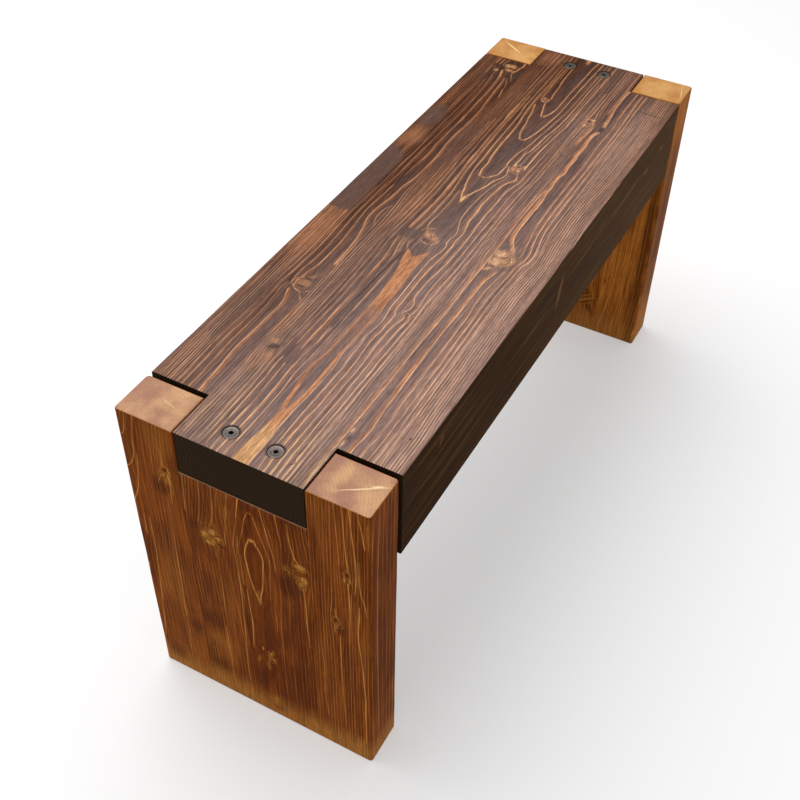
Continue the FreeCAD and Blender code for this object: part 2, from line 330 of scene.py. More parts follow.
def nothing(tree):
    """The number 0."""
    result = Number(tree, tree.nodes.new("ShaderNodeValue").outputs[0])
    result.socket.default_value = 0.0
    return result


def ovals(spot, marks, edge=0.55):
    """Soft ovals: middle along and across, half length, half width, turn in degrees, strength."""
    tree = spot.id_data
    result = nothing(tree)
    for along, across, half_long, half_short, turn, strength in marks:
        local = seen_from(spot, along, across, half_long, half_short, turn)
        away = Number(tree, vector_math("LENGTH", local, output="Value"))
        result = reckon("MAXIMUM", result, ramp(away, 1.0 + edge / 2, 1.0 - edge, strength))
    return result


def arcs(spot, marks):
    """Parts of rings.

    Each has its middle, its half lengths ahead and aside, the way it bulges and half its
    opening in degrees, half its width, and its strength.
    """
    tree = spot.id_data
    result = nothing(tree)
    for along, across, ahead, aside, turn, opening, width, strength in marks:
        local = seen_from(spot, along, across, ahead, aside, turn)
        away = Number(tree, vector_math("LENGTH", local, output="Value"))
        parts = tree.nodes.new("ShaderNodeSeparateXYZ")
        tree.links.new(vector_math("NORMALIZE", local), parts.inputs[0])
        share = 2 * width / (ahead + aside)
        line = ramp(absolute(away - 1.0), share, 0.3 * share, strength)
        limit = math.cos(math.radians(opening))
        line = line * ramp(Number(tree, parts.outputs[0]), limit - 0.1, limit + 0.12)
        result = reckon("MAXIMUM", result, line)
    return result


def round_knots(along, across, tree, knots):
    """The place across the grain as knots bend it, and 1 outside the knots but 0 in them.

    Each knot has its middle, its radius, how far along and across it bends the grain, and how
    much.
    """
    spot = tree.nodes.new("ShaderNodeCombineXYZ")
    tree.links.new(along.socket, spot.inputs[0])
    tree.links.new(across.socket, spot.inputs[1])
    bent = across
    clear = along * 0.0 + 1.0
    for knot_along, knot_across, radius, reach, width, swelling in knots:
        local = seen_from(spot.outputs[0], knot_along, knot_across, reach, width, 0)
        away = Number(tree, vector_math("LENGTH", local, output="Value"))
        swell = reckon("EXPONENT", away * away * -1.0)
        bent = bent - (across - knot_across) * swell * swelling
        if radius > 0:
            local = seen_from(spot.outputs[0], knot_along, knot_across, radius, radius, 0)
            away = Number(tree, vector_math("LENGTH", local, output="Value"))
            clear = reckon("MINIMUM", clear, ramp(away, 0.7, 1.3))
    return bent, clear


# The height of the seat's face and of the post tops above the floor, in millimetres
bench_top = 445.0
seat_knots = [
    # along, across, radius, reach of the bent grain along and across, and how much it bends
    (384.0, 98.0, 12.0, 40.0, 16.0, 0.8), (299.0, -57.0, 6.0, 24.0, 9.0, 0.8),
    (141.0, -21.0, 9.0, 26.0, 11.0, 0.8), (-34.0, -87.0, 15.0, 36.0, 34.0, 0.5),
    (-45.0, 7.0, 12.0, 32.0, 18.0, 0.8), (-40.0, 90.0, 0.0, 60.0, 50.0, 0.12),
    (-187.0, -38.0, 3.0, 14.0, 5.0, 0.8), (-197.0, 88.0, 10.0, 34.0, 15.0, 0.7),
    (-304.0, 61.0, 6.0, 26.0, 8.0, 0.8),
]
# The heart of the log lies under the seat's face, and wanders as the tree grew
heart_across = [(-470, -4), (-367, -4), (-300, -1.5), (-200, 0), (-100, 2), (-47, 3),
                (40, 6), (103, 8), (210, 3), (278, 3), (455, 5), (475, 5)]
heart_below = [(-470, 44.6), (-400, 44.5), (-367, 44.3), (-310, 44.0), (-250, 44.3),
               (-200, 44.7), (-120, 44.8), (-60, 44.4), (40, 41.5), (103, 38.0), (210, 34.5),
               (278, 31.0), (455, 27.5), (475, 27.0)]
ring_radii = [(20.0, -2), (27.5, 0), (31.0, 1), (34.5, 2), (38.0, 3), (41.5, 4), (45.0, 5),
              (48.1, 6), (51.5, 7), (56.0, 8), (60.6, 9), (65.3, 10), (69.7, 11), (84.8, 16),
              (98.8, 20), (117.0, 24), (150.0, 35), (195.0, 52)]
# How much of the fine rings shows across the seat, between the stronger lines
fine_shares = [(-150, 0.85), (-121, 0.85), (-113, 0.26), (-94, 0.2), (-84, 0.0), (-72, 0.15),
               (-67, 0.6), (-57, 0.6), (-50, 0.15), (-20, 0.05), (30, 0.05), (52, 0.2),
               (58, 0.7), (76, 0.7), (82, 0.15), (118, 0.3), (124, 0.9), (150, 0.9)]
# The strong lines of late wood: half the width of the bright edge, width of the warm side
# towards the heart and how warm it is, and the route, as places along and across the seat
# with the line's strength there in tenths
seat_lines = [
    (0.75, 2.0, 0.15, [
        (-462, 16.3, 6), (-442, 15.5, 2), (-436, 15, 9), (-400, 15, 8), (-380, 15, 8),
        (-350, 16.3, 9), (-325, 18.3, 8), (-310, 18, 4), (-280, 17, 5), (-255, 17, 5),
        (-240, 17.5, 2), (-215, 18, 6), (-190, 18, 8), (-150, 18.3, 8), (-128, 18.5, 3),
        (-105, 20, 3)]),
    (0.9, 2.5, 0.5, [
        (-462, 24.5, 9), (-440, 24.3, 9), (-426, 23.2, 10), (-400, 23, 10), (-388, 23, 6),
        (-375, 23.3, 10), (-350, 24.4, 9), (-323, 26, 9), (-312, 25.5, 3), (-285, 25, 3),
        (-274, 24, 6), (-262, 24.3, 8), (-248, 24.5, 5)]),
    (0.9, 2.5, 0.4, [
        (-460, 31.5, 7), (-448, 32, 5), (-440, 32, 1), (-422, 32.3, 9), (-398, 32.3, 9),
        (-390, 32, 2), (-372, 33, 3), (-350, 34, 7), (-322, 35.5, 8)]),
    (0.8, 4.0, 0.75, [
        (-290, 34, 2), (-270, 34, 7), (-240, 33.5, 7), (-210, 34, 8), (-188, 34, 6),
        (-178, 33.5, 2), (-160, 34.5, 3), (-130, 35, 6), (-100, 36.5, 5), (-75, 40, 5),
        (-62, 41, 3)]),
    (0.8, 4.5, 0.7, [
        (-38, 39, 7), (-15, 38, 8), (10, 36.7, 7), (35, 36.3, 6), (60, 37.5, 8), (80, 38.7, 8),
        (95, 39, 5), (120, 41, 5), (138, 42.3, 6), (160, 42.5, 3), (180, 43.5, 5), (205, 44.3, 3),
        (235, 44.5, 5), (270, 46.5, 7), (300, 46.5, 3), (350, 47, 2), (400, 46, 3), (462, 46, 4)]),
    (0.8, 2.0, 0.35, [
        (-456, 39.5, 3), (-440, 40, 6), (-430, 40.3, 7), (-420, 40, 2), (-410, 40.3, 9),
        (-390, 41, 9), (-365, 41.5, 7), (-345, 42, 5), (-325, 43.8, 8), (-314, 43.7, 5)]),
    (0.8, 2.0, 0.35, [
        (-286, 42, 4), (-250, 41.5, 4), (-225, 41.5, 5), (-200, 41.5, 3), (-170, 42.3, 4),
        (-140, 43.5, 3), (-105, 45, 3), (-70, 48, 3), (-30, 46.5, 4), (-10, 45.7, 5), (20, 45, 3),
        (55, 45.3, 4), (90, 47, 4), (120, 48, 4), (150, 49, 4), (180, 50, 3), (240, 51.5, 3),
        (300, 51.5, 2), (460, 53, 3)]),
    (0.8, 2.0, 0.35, [
        (-456, 45.5, 2), (-430, 46, 6), (-400, 47, 9), (-375, 47.3, 8), (-355, 47.8, 5),
        (-335, 49.3, 8), (-312, 50.5, 6), (-300, 50, 2), (-260, 48.3, 3), (-200, 48, 3),
        (-150, 49.5, 4), (-110, 51, 3), (-70, 53.5, 3), (-40, 52.5, 4), (-20, 51.5, 6),
        (10, 51, 8), (40, 51.2, 6), (70, 52, 5), (100, 53, 6), (130, 55, 4), (180, 56, 3),
        (240, 57, 3)]),
    (0.8, 2.0, 0.3, [
        (-456, 50.5, 3), (-420, 51, 5), (-400, 52, 5), (-370, 52.5, 6), (-345, 53.5, 6),
        (-325, 55, 6), (-314, 56.5, 5)]),
    (0.75, 2.0, 0.2, [
        (-290, 53.5, 4), (-240, 53.5, 4), (-200, 53.7, 5), (-160, 54, 4), (-120, 56.5, 3),
        (-80, 58, 3), (-30, 57, 3), (-15, 56.7, 6), (10, 56.5, 8), (40, 56.3, 5), (70, 57, 6),
        (100, 58, 5), (150, 59, 3), (230, 61, 3)]),
    (0.7, 1.5, 0.1, [
        (-270, 63, 4), (-240, 63.5, 5), (-200, 64.3, 5), (-170, 65, 4), (-120, 66.5, 2),
        (-60, 65.5, 2), (-35, 64.3, 6), (0, 63.5, 6), (30, 63.5, 5), (60, 64, 5), (80, 65, 4),
        (110, 66, 3)]),
    (0.7, 1.5, 0.2, [
        (-452, 69, 4), (-435, 69.3, 5), (-415, 69.3, 6), (-395, 69, 1), (-360, 70.5, 2),
        (-342, 71.5, 4), (-328, 73, 5), (-318, 73, 2)]),
    (0.7, 1.5, 0.1, [
        (-248, 71.5, 5), (-235, 72, 6), (-200, 73, 7), (-170, 73.5, 6), (-150, 74.5, 6),
        (-120, 76, 4), (-90, 77.5, 3)]),
    (0.7, 1.5, 0.1, [(-290, 77, 3), (-270, 76, 5), (-250, 76, 3), (-190, 76.5, 3), (-172, 77, 3)]),
    (0.7, 1.5, 0.1, [
        (-58, 78, 2), (-50, 81, 5), (-42, 83.5, 5), (-30, 84, 6), (-20, 82.5, 5), (-11, 79, 3)]),
    (1.1, 5.5, 0.85, [
        (-400, 90.3, 10), (-392, 90.5, 9), (-386, 91, 5), (-365, 92, 7), (-345, 94, 6),
        (-325, 95.3, 6), (-300, 94.5, 7), (-275, 94, 6), (-250, 93.5, 5), (-235, 94.5, 6),
        (-222, 98, 8), (-213, 101, 8)]),
    (0.8, 2.5, 0.6, [
        (-206, 97, 2), (-200, 100, 8), (-192, 100.8, 9), (-184, 99, 6), (-175, 98.5, 5),
        (-168, 97, 5), (-160, 95.3, 7), (-145, 94.5, 8), (-120, 94.5, 7), (-100, 95.5, 6),
        (-75, 98, 5), (-50, 100.5, 7), (-30, 102, 6), (-10, 101.3, 6), (10, 100.3, 5),
        (30, 100, 4)]),
    (1.0, 4.0, 0.8, [
        (-146, 79, 9), (-125, 79.7, 7), (-105, 81, 8), (-90, 82.5, 9), (-78, 84.5, 7),
        (-66, 87.5, 7), (-54, 91, 8), (-40, 93, 7), (-25, 92.5, 6), (-10, 90.7, 8), (10, 88.7, 7),
        (30, 87.7, 6), (48, 85.3, 7), (62, 83.5, 5), (80, 83.2, 5), (110, 82.7, 7), (130, 84, 6),
        (150, 86, 6), (175, 86.3, 6), (200, 84.7, 6), (230, 84.3, 6), (250, 85, 5), (270, 87, 5),
        (300, 90, 6), (335, 92.5, 6), (348, 94, 4)]),
    (1.0, 3.5, 0.7, [
        (60, 98, 2), (90, 96, 3), (102, 95.5, 9), (112, 95.3, 9), (125, 95.5, 6), (145, 97, 5),
        (180, 97, 4), (205, 96.5, 4), (215, 96.5, 9), (224, 97, 7), (235, 97, 3), (262, 98, 6),
        (285, 98.3, 6), (310, 98.7, 5), (335, 101, 6), (352, 103.2, 9), (368, 107, 10)]),
    (0.8, 3.5, 0.5, [
        (-398, 103, 6), (-380, 103.3, 6), (-355, 104.5, 5), (-335, 105.5, 6), (-310, 106, 5),
        (-280, 105.5, 3), (-250, 106, 4), (-230, 108, 4), (-215, 109.5, 6), (-203, 109, 4)]),
    (0.8, 3.0, 0.5, [
        (-203, 104, 2), (-192, 106, 6), (-180, 107, 5), (-165, 106, 3), (-157, 104.8, 8),
        (-120, 104.3, 7), (-95, 106, 6), (-60, 108.5, 6), (-35, 109.5, 7), (-20, 109, 4),
        (0, 109, 5), (30, 107.5, 3), (60, 106.3, 5), (100, 106.3, 6), (125, 106.5, 6),
        (150, 106, 3), (200, 106, 3), (260, 106.5, 4), (300, 108, 4), (345, 112, 4)]),
    (0.8, 2.0, 0.4, [
        (-398, 111.5, 7), (-385, 112, 6), (-360, 112.8, 7), (-330, 114, 5), (-300, 113.5, 6),
        (-285, 112.5, 4), (-240, 113.5, 3), (-200, 115.5, 5), (-185, 114, 7), (-160, 113.3, 7),
        (-130, 112.5, 7), (-95, 114.3, 7), (-60, 116, 7), (-40, 116.5, 6), (-20, 115.7, 2),
        (0, 115.5, 4), (50, 114, 3), (78, 114.5, 6), (120, 113, 4), (150, 114, 3), (300, 115, 3),
        (335, 117, 3)]),
    (0.8, 2.0, 0.4, [
        (-398, 118.5, 6), (-385, 118, 7), (-360, 119.3, 6), (-330, 120.5, 5), (-300, 120, 3),
        (-240, 119.7, 2), (-200, 121, 4), (-175, 120, 7), (-140, 119.3, 8), (-100, 120.5, 7),
        (-70, 122, 7), (-45, 122.5, 8)]),
    (0.7, 2.0, 0.3, [(-396, 127, 3), (-370, 128.5, 4), (-340, 129, 4), (-320, 128, 1)]),
    (0.7, 2.0, 0.3, [(-396, 133, 3), (-375, 135.3, 6), (-345, 136.3, 5), (-320, 136.5, 4)]),
    (0.7, 2.0, 0.3, [
        (-390, 139.5, 2), (-366, 141.5, 6), (-340, 142.7, 6), (-310, 143, 4), (-290, 142.5, 2),
        (-270, 142, 4), (-245, 142, 5), (-215, 141.5, 5), (-190, 142, 3)]),
    (0.7, 2.0, 0.4, [
        (-180, 127, 4), (-140, 126, 4), (-110, 127, 3), (-80, 127.5, 5), (-50, 128.5, 6)]),
    (0.8, 2.0, 0.4, [(-150, 134, 4), (-110, 133, 4), (-60, 135, 3)]),
    (0.8, 2.0, 0.4, [(-100, 141, 3), (-60, 141.3, 8), (-49, 141.8, 8)]),
    (0.7, 2.0, 0.4, [
        (-140, 146, 5), (-100, 145, 6), (-80, 145.5, 6), (-60, 147, 5), (-48, 147, 4)]),
    (0.7, 1.0, 0.0, [
        (-462, -13.3, 8), (-440, -12, 7), (-400, -11, 8), (-380, -11, 8), (-345, -12.5, 6),
        (-320, -13, 4), (-300, -12.5, 6), (-275, -9.5, 7), (-245, -9, 7), (-235, -11, 2),
        (-205, -11.5, 4), (-180, -8.5, 4), (-140, -6.5, 4), (-110, -5.5, 3)]),
    (0.8, 1.5, 0.1, [
        (-462, -24.3, 6), (-446, -23, 7), (-441, -22.5, 3), (-424, -22, 2), (-414, -22, 8),
        (-395, -21, 8), (-360, -20.7, 7), (-330, -21, 7), (-300, -21, 7), (-280, -19.5, 8),
        (-255, -18.8, 7), (-240, -17, 8), (-228, -18.5, 6), (-212, -20, 5), (-200, -19, 7),
        (-185, -16.5, 8), (-160, -15.8, 8), (-140, -15, 9), (-120, -14.3, 9), (-92, -14, 9),
        (-75, -15.5, 9), (-62, -18.3, 8), (-54, -18.3, 8), (-45, -15.5, 8), (-35, -15.7, 6),
        (-28, -17, 6), (-18, -16, 6), (-8, -12.5, 7), (3, -9.3, 7), (15, -7.5, 8), (35, -7, 7),
        (55, -7.7, 6), (72, -9, 5), (90, -11.5, 5), (110, -17, 5), (122, -19.5, 4)]),
    (0.9, 3.0, 0.6, [
        (-462, -31.3, 9), (-440, -30, 9), (-425, -29, 5), (-410, -28.5, 8), (-385, -28, 8),
        (-350, -29.5, 5), (-320, -28.8, 5), (-300, -29, 5), (-270, -27.5, 6), (-238, -25.5, 7),
        (-222, -27, 6), (-205, -27, 8), (-194, -27.3, 7), (-189, -24.5, 6), (-180, -23, 8),
        (-155, -22.7, 8), (-120, -21.5, 8), (-92, -22.5, 8), (-70, -24.3, 8), (-50, -24.8, 7),
        (-38, -23, 6), (-22, -24.3, 7), (-5, -22, 8), (10, -19.3, 9), (25, -19.5, 7), (45, -18, 8),
        (65, -18.7, 8), (85, -20, 8), (97, -22, 9), (107, -25.5, 9), (114, -29.5, 9),
        (118, -30.7, 10), (124, -29.5, 6), (130, -27.5, 5)]),
    (0.9, 2.5, 0.4, [
        (-462, -39, 9), (-430, -37.2, 10), (-410, -36.8, 10), (-390, -36.7, 6), (-350, -37, 4),
        (-320, -36.3, 4), (-300, -36.5, 5), (-270, -35.3, 7), (-240, -33.8, 7), (-222, -33.8, 7),
        (-207, -35.5, 6), (-196, -37.8, 8), (-190, -36.5, 4), (-186, -32.5, 2), (-182, -34, 6),
        (-176, -37, 8), (-166, -36, 6), (-157, -32, 6), (-145, -31, 6), (-128, -30.5, 6),
        (-112, -32, 9), (-92, -33.8, 8), (-60, -34.5, 7), (-30, -34, 7), (0, -32.5, 7),
        (25, -31.3, 7), (60, -31.7, 8), (85, -31.7, 7), (100, -34, 6), (114, -37.7, 6),
        (145, -38, 6), (180, -38.7, 5), (230, -39.5, 3)]),
    (0.8, 2.5, 0.4, [
        (-462, -46, 8), (-450, -45, 5), (-425, -43.7, 8), (-405, -43.5, 8), (-370, -42.8, 6),
        (-340, -43.3, 7), (-300, -42.7, 7), (-260, -42.5, 7), (-225, -42.5, 8), (-205, -43.5, 9),
        (-194, -44.3, 6), (-186, -42, 4), (-180, -43.5, 6), (-172, -43.7, 6), (-150, -41.5, 6),
        (-120, -40.7, 6), (-80, -42.3, 5), (-40, -42, 5), (-15, -41, 6), (20, -41, 4),
        (70, -39.8, 5), (90, -40.5, 4), (110, -43.5, 4), (160, -44.2, 4), (230, -44.5, 2)]),
    (0.9, 2.0, 0.4, [
        (-462, -52, 6), (-440, -51.5, 8), (-410, -50.3, 8), (-370, -50.2, 6), (-345, -50.3, 5),
        (-310, -50, 7), (-295, -50, 9), (-265, -49.5, 7), (-235, -49.7, 8), (-205, -49.7, 9),
        (-190, -49.5, 8), (-165, -48, 8), (-130, -48, 7), (-100, -48.7, 5), (-60, -49, 5),
        (0, -48.3, 5), (60, -47.7, 6), (90, -48, 4), (120, -50, 4), (160, -50, 5), (200, -50.3, 4),
        (300, -50, 2), (345, -50.3, 4), (380, -50.5, 3)]),
    (0.8, 2.0, 0.3, [
        (-460, -56.5, 6), (-430, -56, 7), (-400, -55.5, 6), (-360, -55.3, 6), (-340, -56, 7),
        (-300, -55.5, 7), (-250, -55.5, 5), (-220, -55, 6), (-190, -54.7, 6), (-160, -53.5, 5),
        (-110, -54, 4), (-60, -54.3, 4), (0, -53, 4), (40, -52, 5), (100, -53.3, 3), (140, -54, 4),
        (200, -54.3, 3), (330, -54.8, 5), (360, -54.5, 3)]),
    (0.8, 4.0, 0.7, [
        (-462, -75, 3), (-440, -74.3, 7), (-418, -74.3, 6), (-408, -73.5, 3), (-395, -74, 7),
        (-380, -74, 8), (-350, -74.3, 7), (-310, -74.5, 7), (-270, -74.3, 6), (-230, -73.5, 6),
        (-190, -74, 7), (-150, -73.5, 7), (-110, -73, 6), (-66, -73.2, 7), (-30, -73.2, 7),
        (0, -72.3, 7), (40, -71.3, 6), (80, -71.5, 5), (110, -73, 4)]),
    (0.9, 5.0, 0.8, [
        (-400, -90.7, 8), (-385, -91.5, 8), (-374, -93, 7), (-365, -93.5, 7), (-345, -92, 7),
        (-325, -90.5, 6), (-312, -90.5, 6), (-300, -90, 7), (-280, -89, 9), (-250, -88, 7),
        (-215, -87, 7), (-185, -86.5, 6), (-160, -87.3, 8), (-151, -87, 9), (-130, -87, 7),
        (-105, -87, 8), (-88, -87.3, 9), (-78, -89.5, 7), (-68, -92, 4)]),
    (1.1, 5.8, 0.95, [
        (-25, -95, 5), (-18, -91, 6), (-10, -86.5, 7), (0, -82, 8), (12, -80, 8), (30, -79, 8),
        (60, -79, 9), (80, -79.5, 9), (95, -79, 8), (112, -77.3, 7), (122, -78, 7),
        (135, -76.5, 7), (150, -76.5, 8), (163, -79, 8), (180, -78, 8), (200, -78.5, 9),
        (212, -77.3, 8), (235, -78, 8), (255, -76.5, 8), (268, -77.5, 9), (277, -80, 8)]),
    (1.0, 4.5, 0.85, [
        (296, -82, 8), (310, -81, 8), (330, -79, 6), (345, -77, 6), (365, -76.5, 6), (385, -76, 7),
        (403, -77.5, 7)]),
    (0.8, 3.5, 0.7, [(235, -66, 4), (250, -66, 8), (262, -67, 8), (280, -68, 8), (290, -68, 5)]),
    (0.7, 2.5, 0.5, [(330, -73, 4), (400, -72.5, 5), (460, -73, 5)]),
    (0.8, 2.5, 0.5, [
        (-399, -103, 7), (-385, -103, 6), (-370, -104, 5), (-345, -103.8, 3), (-325, -102.5, 6),
        (-300, -101.7, 7), (-260, -100.7, 5), (-225, -99.7, 6), (-195, -99, 6), (-155, -98.3, 6),
        (-135, -96.5, 5), (-105, -95.7, 5), (-85, -97, 5), (-65, -100, 3)]),
    (0.8, 2.5, 0.5, [
        (-44, -103, 3), (-25, -103.3, 5), (-8, -101.5, 5), (12, -98.5, 5), (30, -96.5, 4),
        (60, -94.7, 6), (110, -93.7, 5), (150, -93.7, 6), (210, -93, 5), (250, -92, 5),
        (290, -92.7, 4), (330, -90.5, 5), (400, -89.5, 5)]),
    (0.9, 2.5, 0.5, [
        (-399, -110.7, 6), (-370, -111.2, 6), (-345, -110.7, 5), (-320, -110.5, 5),
        (-295, -110, 7), (-275, -109, 4), (-250, -108.7, 7), (-232, -108, 5), (-222, -107.5, 3),
        (-205, -106.5, 7), (-175, -106, 6), (-140, -104.5, 6), (-115, -104, 6), (-90, -105, 5),
        (-62, -106.5, 6), (-48, -107.7, 7), (-38, -109.7, 8), (-28, -111.3, 9), (-18, -111, 8),
        (-5, -108.5, 7), (12, -105, 6), (30, -103, 7), (60, -101.7, 8), (110, -101.3, 6),
        (170, -101, 5), (240, -101, 5), (300, -100.3, 5), (345, -98.5, 6), (400, -97.5, 6)]),
    (0.9, 2.0, 0.4, [
        (-399, -116.7, 7), (-375, -117, 8), (-350, -117, 4), (-320, -116, 5), (-300, -115.5, 6),
        (-280, -115, 7), (-250, -114, 6), (-230, -113.7, 5), (-205, -112.7, 8), (-170, -111.5, 8),
        (-140, -110.5, 7), (-110, -110, 6), (-80, -111.3, 6), (-55, -112, 7), (-44, -113, 7),
        (-36, -115.5, 8), (-27, -117.3, 9), (-12, -116.5, 7), (2, -114, 7), (20, -110.5, 7),
        (45, -108, 6), (80, -107.5, 7), (130, -107, 5), (200, -106.5, 5), (260, -105.5, 5),
        (320, -105, 5), (352, -103.7, 8), (365, -103.7, 6), (400, -104, 5)]),
    (0.8, 1.5, 0.2, [
        (-399, -124, 5), (-350, -122.7, 6), (-300, -122.3, 6), (-280, -121.5, 6),
        (-250, -120.5, 6), (-200, -119, 6), (-160, -117.3, 6), (-120, -116.5, 5), (-80, -118, 4),
        (-50, -120, 5), (-35, -122.5, 5), (-15, -122.7, 4), (10, -119.5, 4), (35, -115.5, 5),
        (48, -114.7, 8), (75, -114.3, 6), (120, -114, 5), (200, -113.7, 4), (240, -113, 5),
        (330, -112.5, 3)]),
    (0.7, 1.5, 0.1, [(-340, -136.5, 4), (-332, -140.5, 0), (-300, -135.7, 5), (-250, -134.5, 5)]),
    # The four arches along the heart, each a line up its left side and one down its right
    (1.1, 2.0, 0.3, [
        (41, 9.3, 10), (46, 11.5, 10), (54, 14.7, 9), (64, 17, 9), (78, 20.8, 8), (92, 23.7, 7),
        (106, 26, 7), (125, 27.3, 8), (150, 28.5, 7), (190, 30.7, 6), (230, 31.5, 6), (265, 33, 6),
        (300, 36, 7), (330, 36, 3), (400, 37, 3), (462, 37.5, 3)]),
    (1.2, 2.0, 0.3, [
        (41, 9, 10), (50, 8, 10), (58, 5.7, 9), (70, 2, 9), (80, -1.8, 9), (92, -5, 8),
        (101, -7.2, 9), (108, -10.5, 8), (115, -13.7, 8), (124, -15, 9), (131, -13, 7),
        (140, -10.7, 5)]),
    (1.1, 2.5, 0.5, [
        (107, 15.3, 8), (113, 17, 9), (122, 18, 7), (135, 17.7, 6), (146, 19.7, 7), (158, 21, 7),
        (180, 22.3, 8), (212, 23, 7), (245, 24.5, 6), (270, 27.5, 7), (300, 29.5, 5),
        (330, 30.5, 4), (362, 30.5, 3), (400, 32, 3), (462, 33, 3)]),
    (1.0, 2.0, 0.4, [
        (108.5, 1, 8), (112, -2, 8), (116, -4.7, 7), (121, -6, 7), (140, -6.7, 6), (149, -5.3, 8),
        (162, -6, 6), (178, -7.3, 6), (190, -9.7, 5), (207, -12.3, 5), (232, -15, 4),
        (270, -19, 4), (300, -21.5, 3), (400, -22.5, 3), (462, -23, 3)]),
    (1.0, 2.0, 0.4, [
        (213, 7.7, 9), (222, 11.5, 8), (235, 14, 7), (250, 15.5, 6), (262, 18, 5), (275, 20, 6),
        (288, 22, 6), (302, 25, 6)]),
    (1.0, 2.0, 0.4, [
        (213, -1, 10), (218, -3.2, 9), (226, -5.2, 8), (240, -8, 7), (260, -10.5, 6),
        (285, -13, 6), (310, -14, 6), (360, -14, 5), (400, -14.3, 5), (462, -16, 4)]),
    (1.0, 2.0, 0.4, [(281, 6, 9), (286, 8, 9), (293, 9.7, 8), (305, 13, 7), (313, 14.7, 6)]),
    (1.0, 2.0, 0.3, [
        (281, 0.7, 10), (287, -2.2, 9), (295, -4.6, 8), (310, -6, 6), (360, -5.7, 5),
        (400, -6.2, 5), (440, -6.7, 5), (462, -8.3, 4)]),
    (0.8, 2.0, 0.3, [
        (329, 12, 6), (340, 13.7, 7), (360, 15, 6), (380, 17.5, 6), (400, 18.7, 5),
        (422, 19.5, 5)]),
    (0.8, 2.0, 0.3, [(330, 24.5, 5), (345, 25, 4), (375, 27, 5), (400, 27.5, 4), (420, 28, 3)]),
    # Beside the small knots near the heart
    (1.0, 2.0, 0.3, [
        (147, -13.7, 6), (153, -15, 10), (165, -15.7, 9), (178, -15.5, 8), (188, -18.3, 7),
        (202, -20.3, 7), (230, -22, 7), (252, -24.7, 7), (265, -26.3, 8), (290, -27.7, 7),
        (320, -28, 6), (345, -27.7, 5), (370, -27, 6), (400, -27.7, 5), (422, -27.7, 5),
        (462, -28, 3)]),
    (0.7, 1.0, 0.0, [
        (152, -21.5, 4), (175, -22.5, 4), (205, -24.5, 5), (232, -26.7, 4), (262, -30.5, 5),
        (300, -31.7, 5), (400, -31.7, 4)]),
    (1.2, 2.0, 0.4, [
        (147, -30.3, 9), (155, -30, 10), (175, -30, 8), (205, -30.7, 7), (225, -32.3, 6),
        (250, -34, 6), (270, -36, 7), (285, -36, 8), (330, -35.3, 5), (370, -35.7, 5),
        (400, -35.7, 6), (462, -36.5, 4)]),
    (0.8, 2.5, 0.4, [
        (-38, 30, 4), (-34, 29.5, 8), (-24, 28.5, 6), (0, 27.7, 5), (28, 28, 6), (55, 28.7, 6),
        (78, 31.5, 6), (100, 33.7, 6), (120, 35, 7), (138, 36, 6), (160, 37.3, 6), (190, 38.5, 6),
        (230, 40, 4), (270, 40.5, 5), (320, 42, 3)]),
    (0.8, 2.0, 0.2, [
        (-29, 19.5, 6), (-22, 21, 7), (-10, 20.7, 6), (10, 20, 5), (28, 20, 5), (60, 21.5, 3)]),
    (0.8, 2.5, 0.5, [(-110, 27, 2), (-95, 28.7, 5), (-75, 33, 6), (-62, 34, 4)]),
    (0.8, 2.5, 0.4, [(-88, 26, 3), (-72, 29.5, 4), (-62, 30, 2)]),
    (0.8, 2.5, 0.4, [(-80, 20, 3), (-66, 24.5, 6), (-60, 24, 3)]),
    (0.9, 1.5, 0.3, [(297, 78.7, 7), (310, 80.7, 9), (318, 82.5, 7)]),
    (0.8, 1.0, 0.0, [(325, 82.5, 3), (338, 86, 6), (348, 90, 4)]),
    (0.9, 1.0, 0.0, [(346, 82, 3), (358, 87.5, 7), (370, 91, 8)]),
    (0.8, 2.0, 0.5, [(352, 125.5, 5), (362, 126, 6), (374, 126, 5)]),
    (0.9, 2.0, 0.6, [(387, 124, 6), (395, 123.7, 7), (403, 123.5, 6)]),
    (0.9, 2.0, 0.6, [(387, 118, 8), (395, 117.5, 8), (403, 117, 4)]),
    (0.9, 2.0, 0.6, [(386, 112.5, 6), (395, 111.5, 6), (403, 110.5, 4)]),
    (1.2, 2.0, 0.8, [
        (372, 89.5, 8), (380, 87.3, 10), (387, 86.3, 9), (392, 84.5, 8), (403, 85.3, 8)]),
]
# The amber band along the heart: its two edges, and the dark lens and the fish tail in it
band_left = [(-470, 6.0), (-435, 5.0), (-420, 2.8), (-395, 1.4), (-370, 4.0), (-345, 7.4),
             (-314, 10.0), (-280, 6.5), (-204, 5.6), (-157, 7.5), (-126, 10.3), (-95, 17.0),
             (-78, 19.0)]
band_right = [(-470, -13.2), (-420, -12.6), (-395, -10.8), (-370, -11.0), (-345, -12.8),
              (-314, -10.4), (-270, -9.5), (-204, -10.6), (-157, -10.0), (-126, -7.5),
              (-95, -5.6), (-78, -6.5), (-58, -12.0)]
lens_left = [(-380, -3.0), (-364, 0.5), (-345, 3.0), (-314, 7.0), (-285, 4.0), (-240, -2.0)]
lens_right = [(-380, -3.1), (-364, -5.5), (-345, -7.5), (-314, -7.0), (-285, -5.0),
              (-240, -2.1)]
tail_left = [(-92, 8.0), (-84, 12.0), (-78, 19.5)]
tail_right = [(-92, 7.9), (-84, 2.0), (-76, -4.0), (-60, -12.0)]
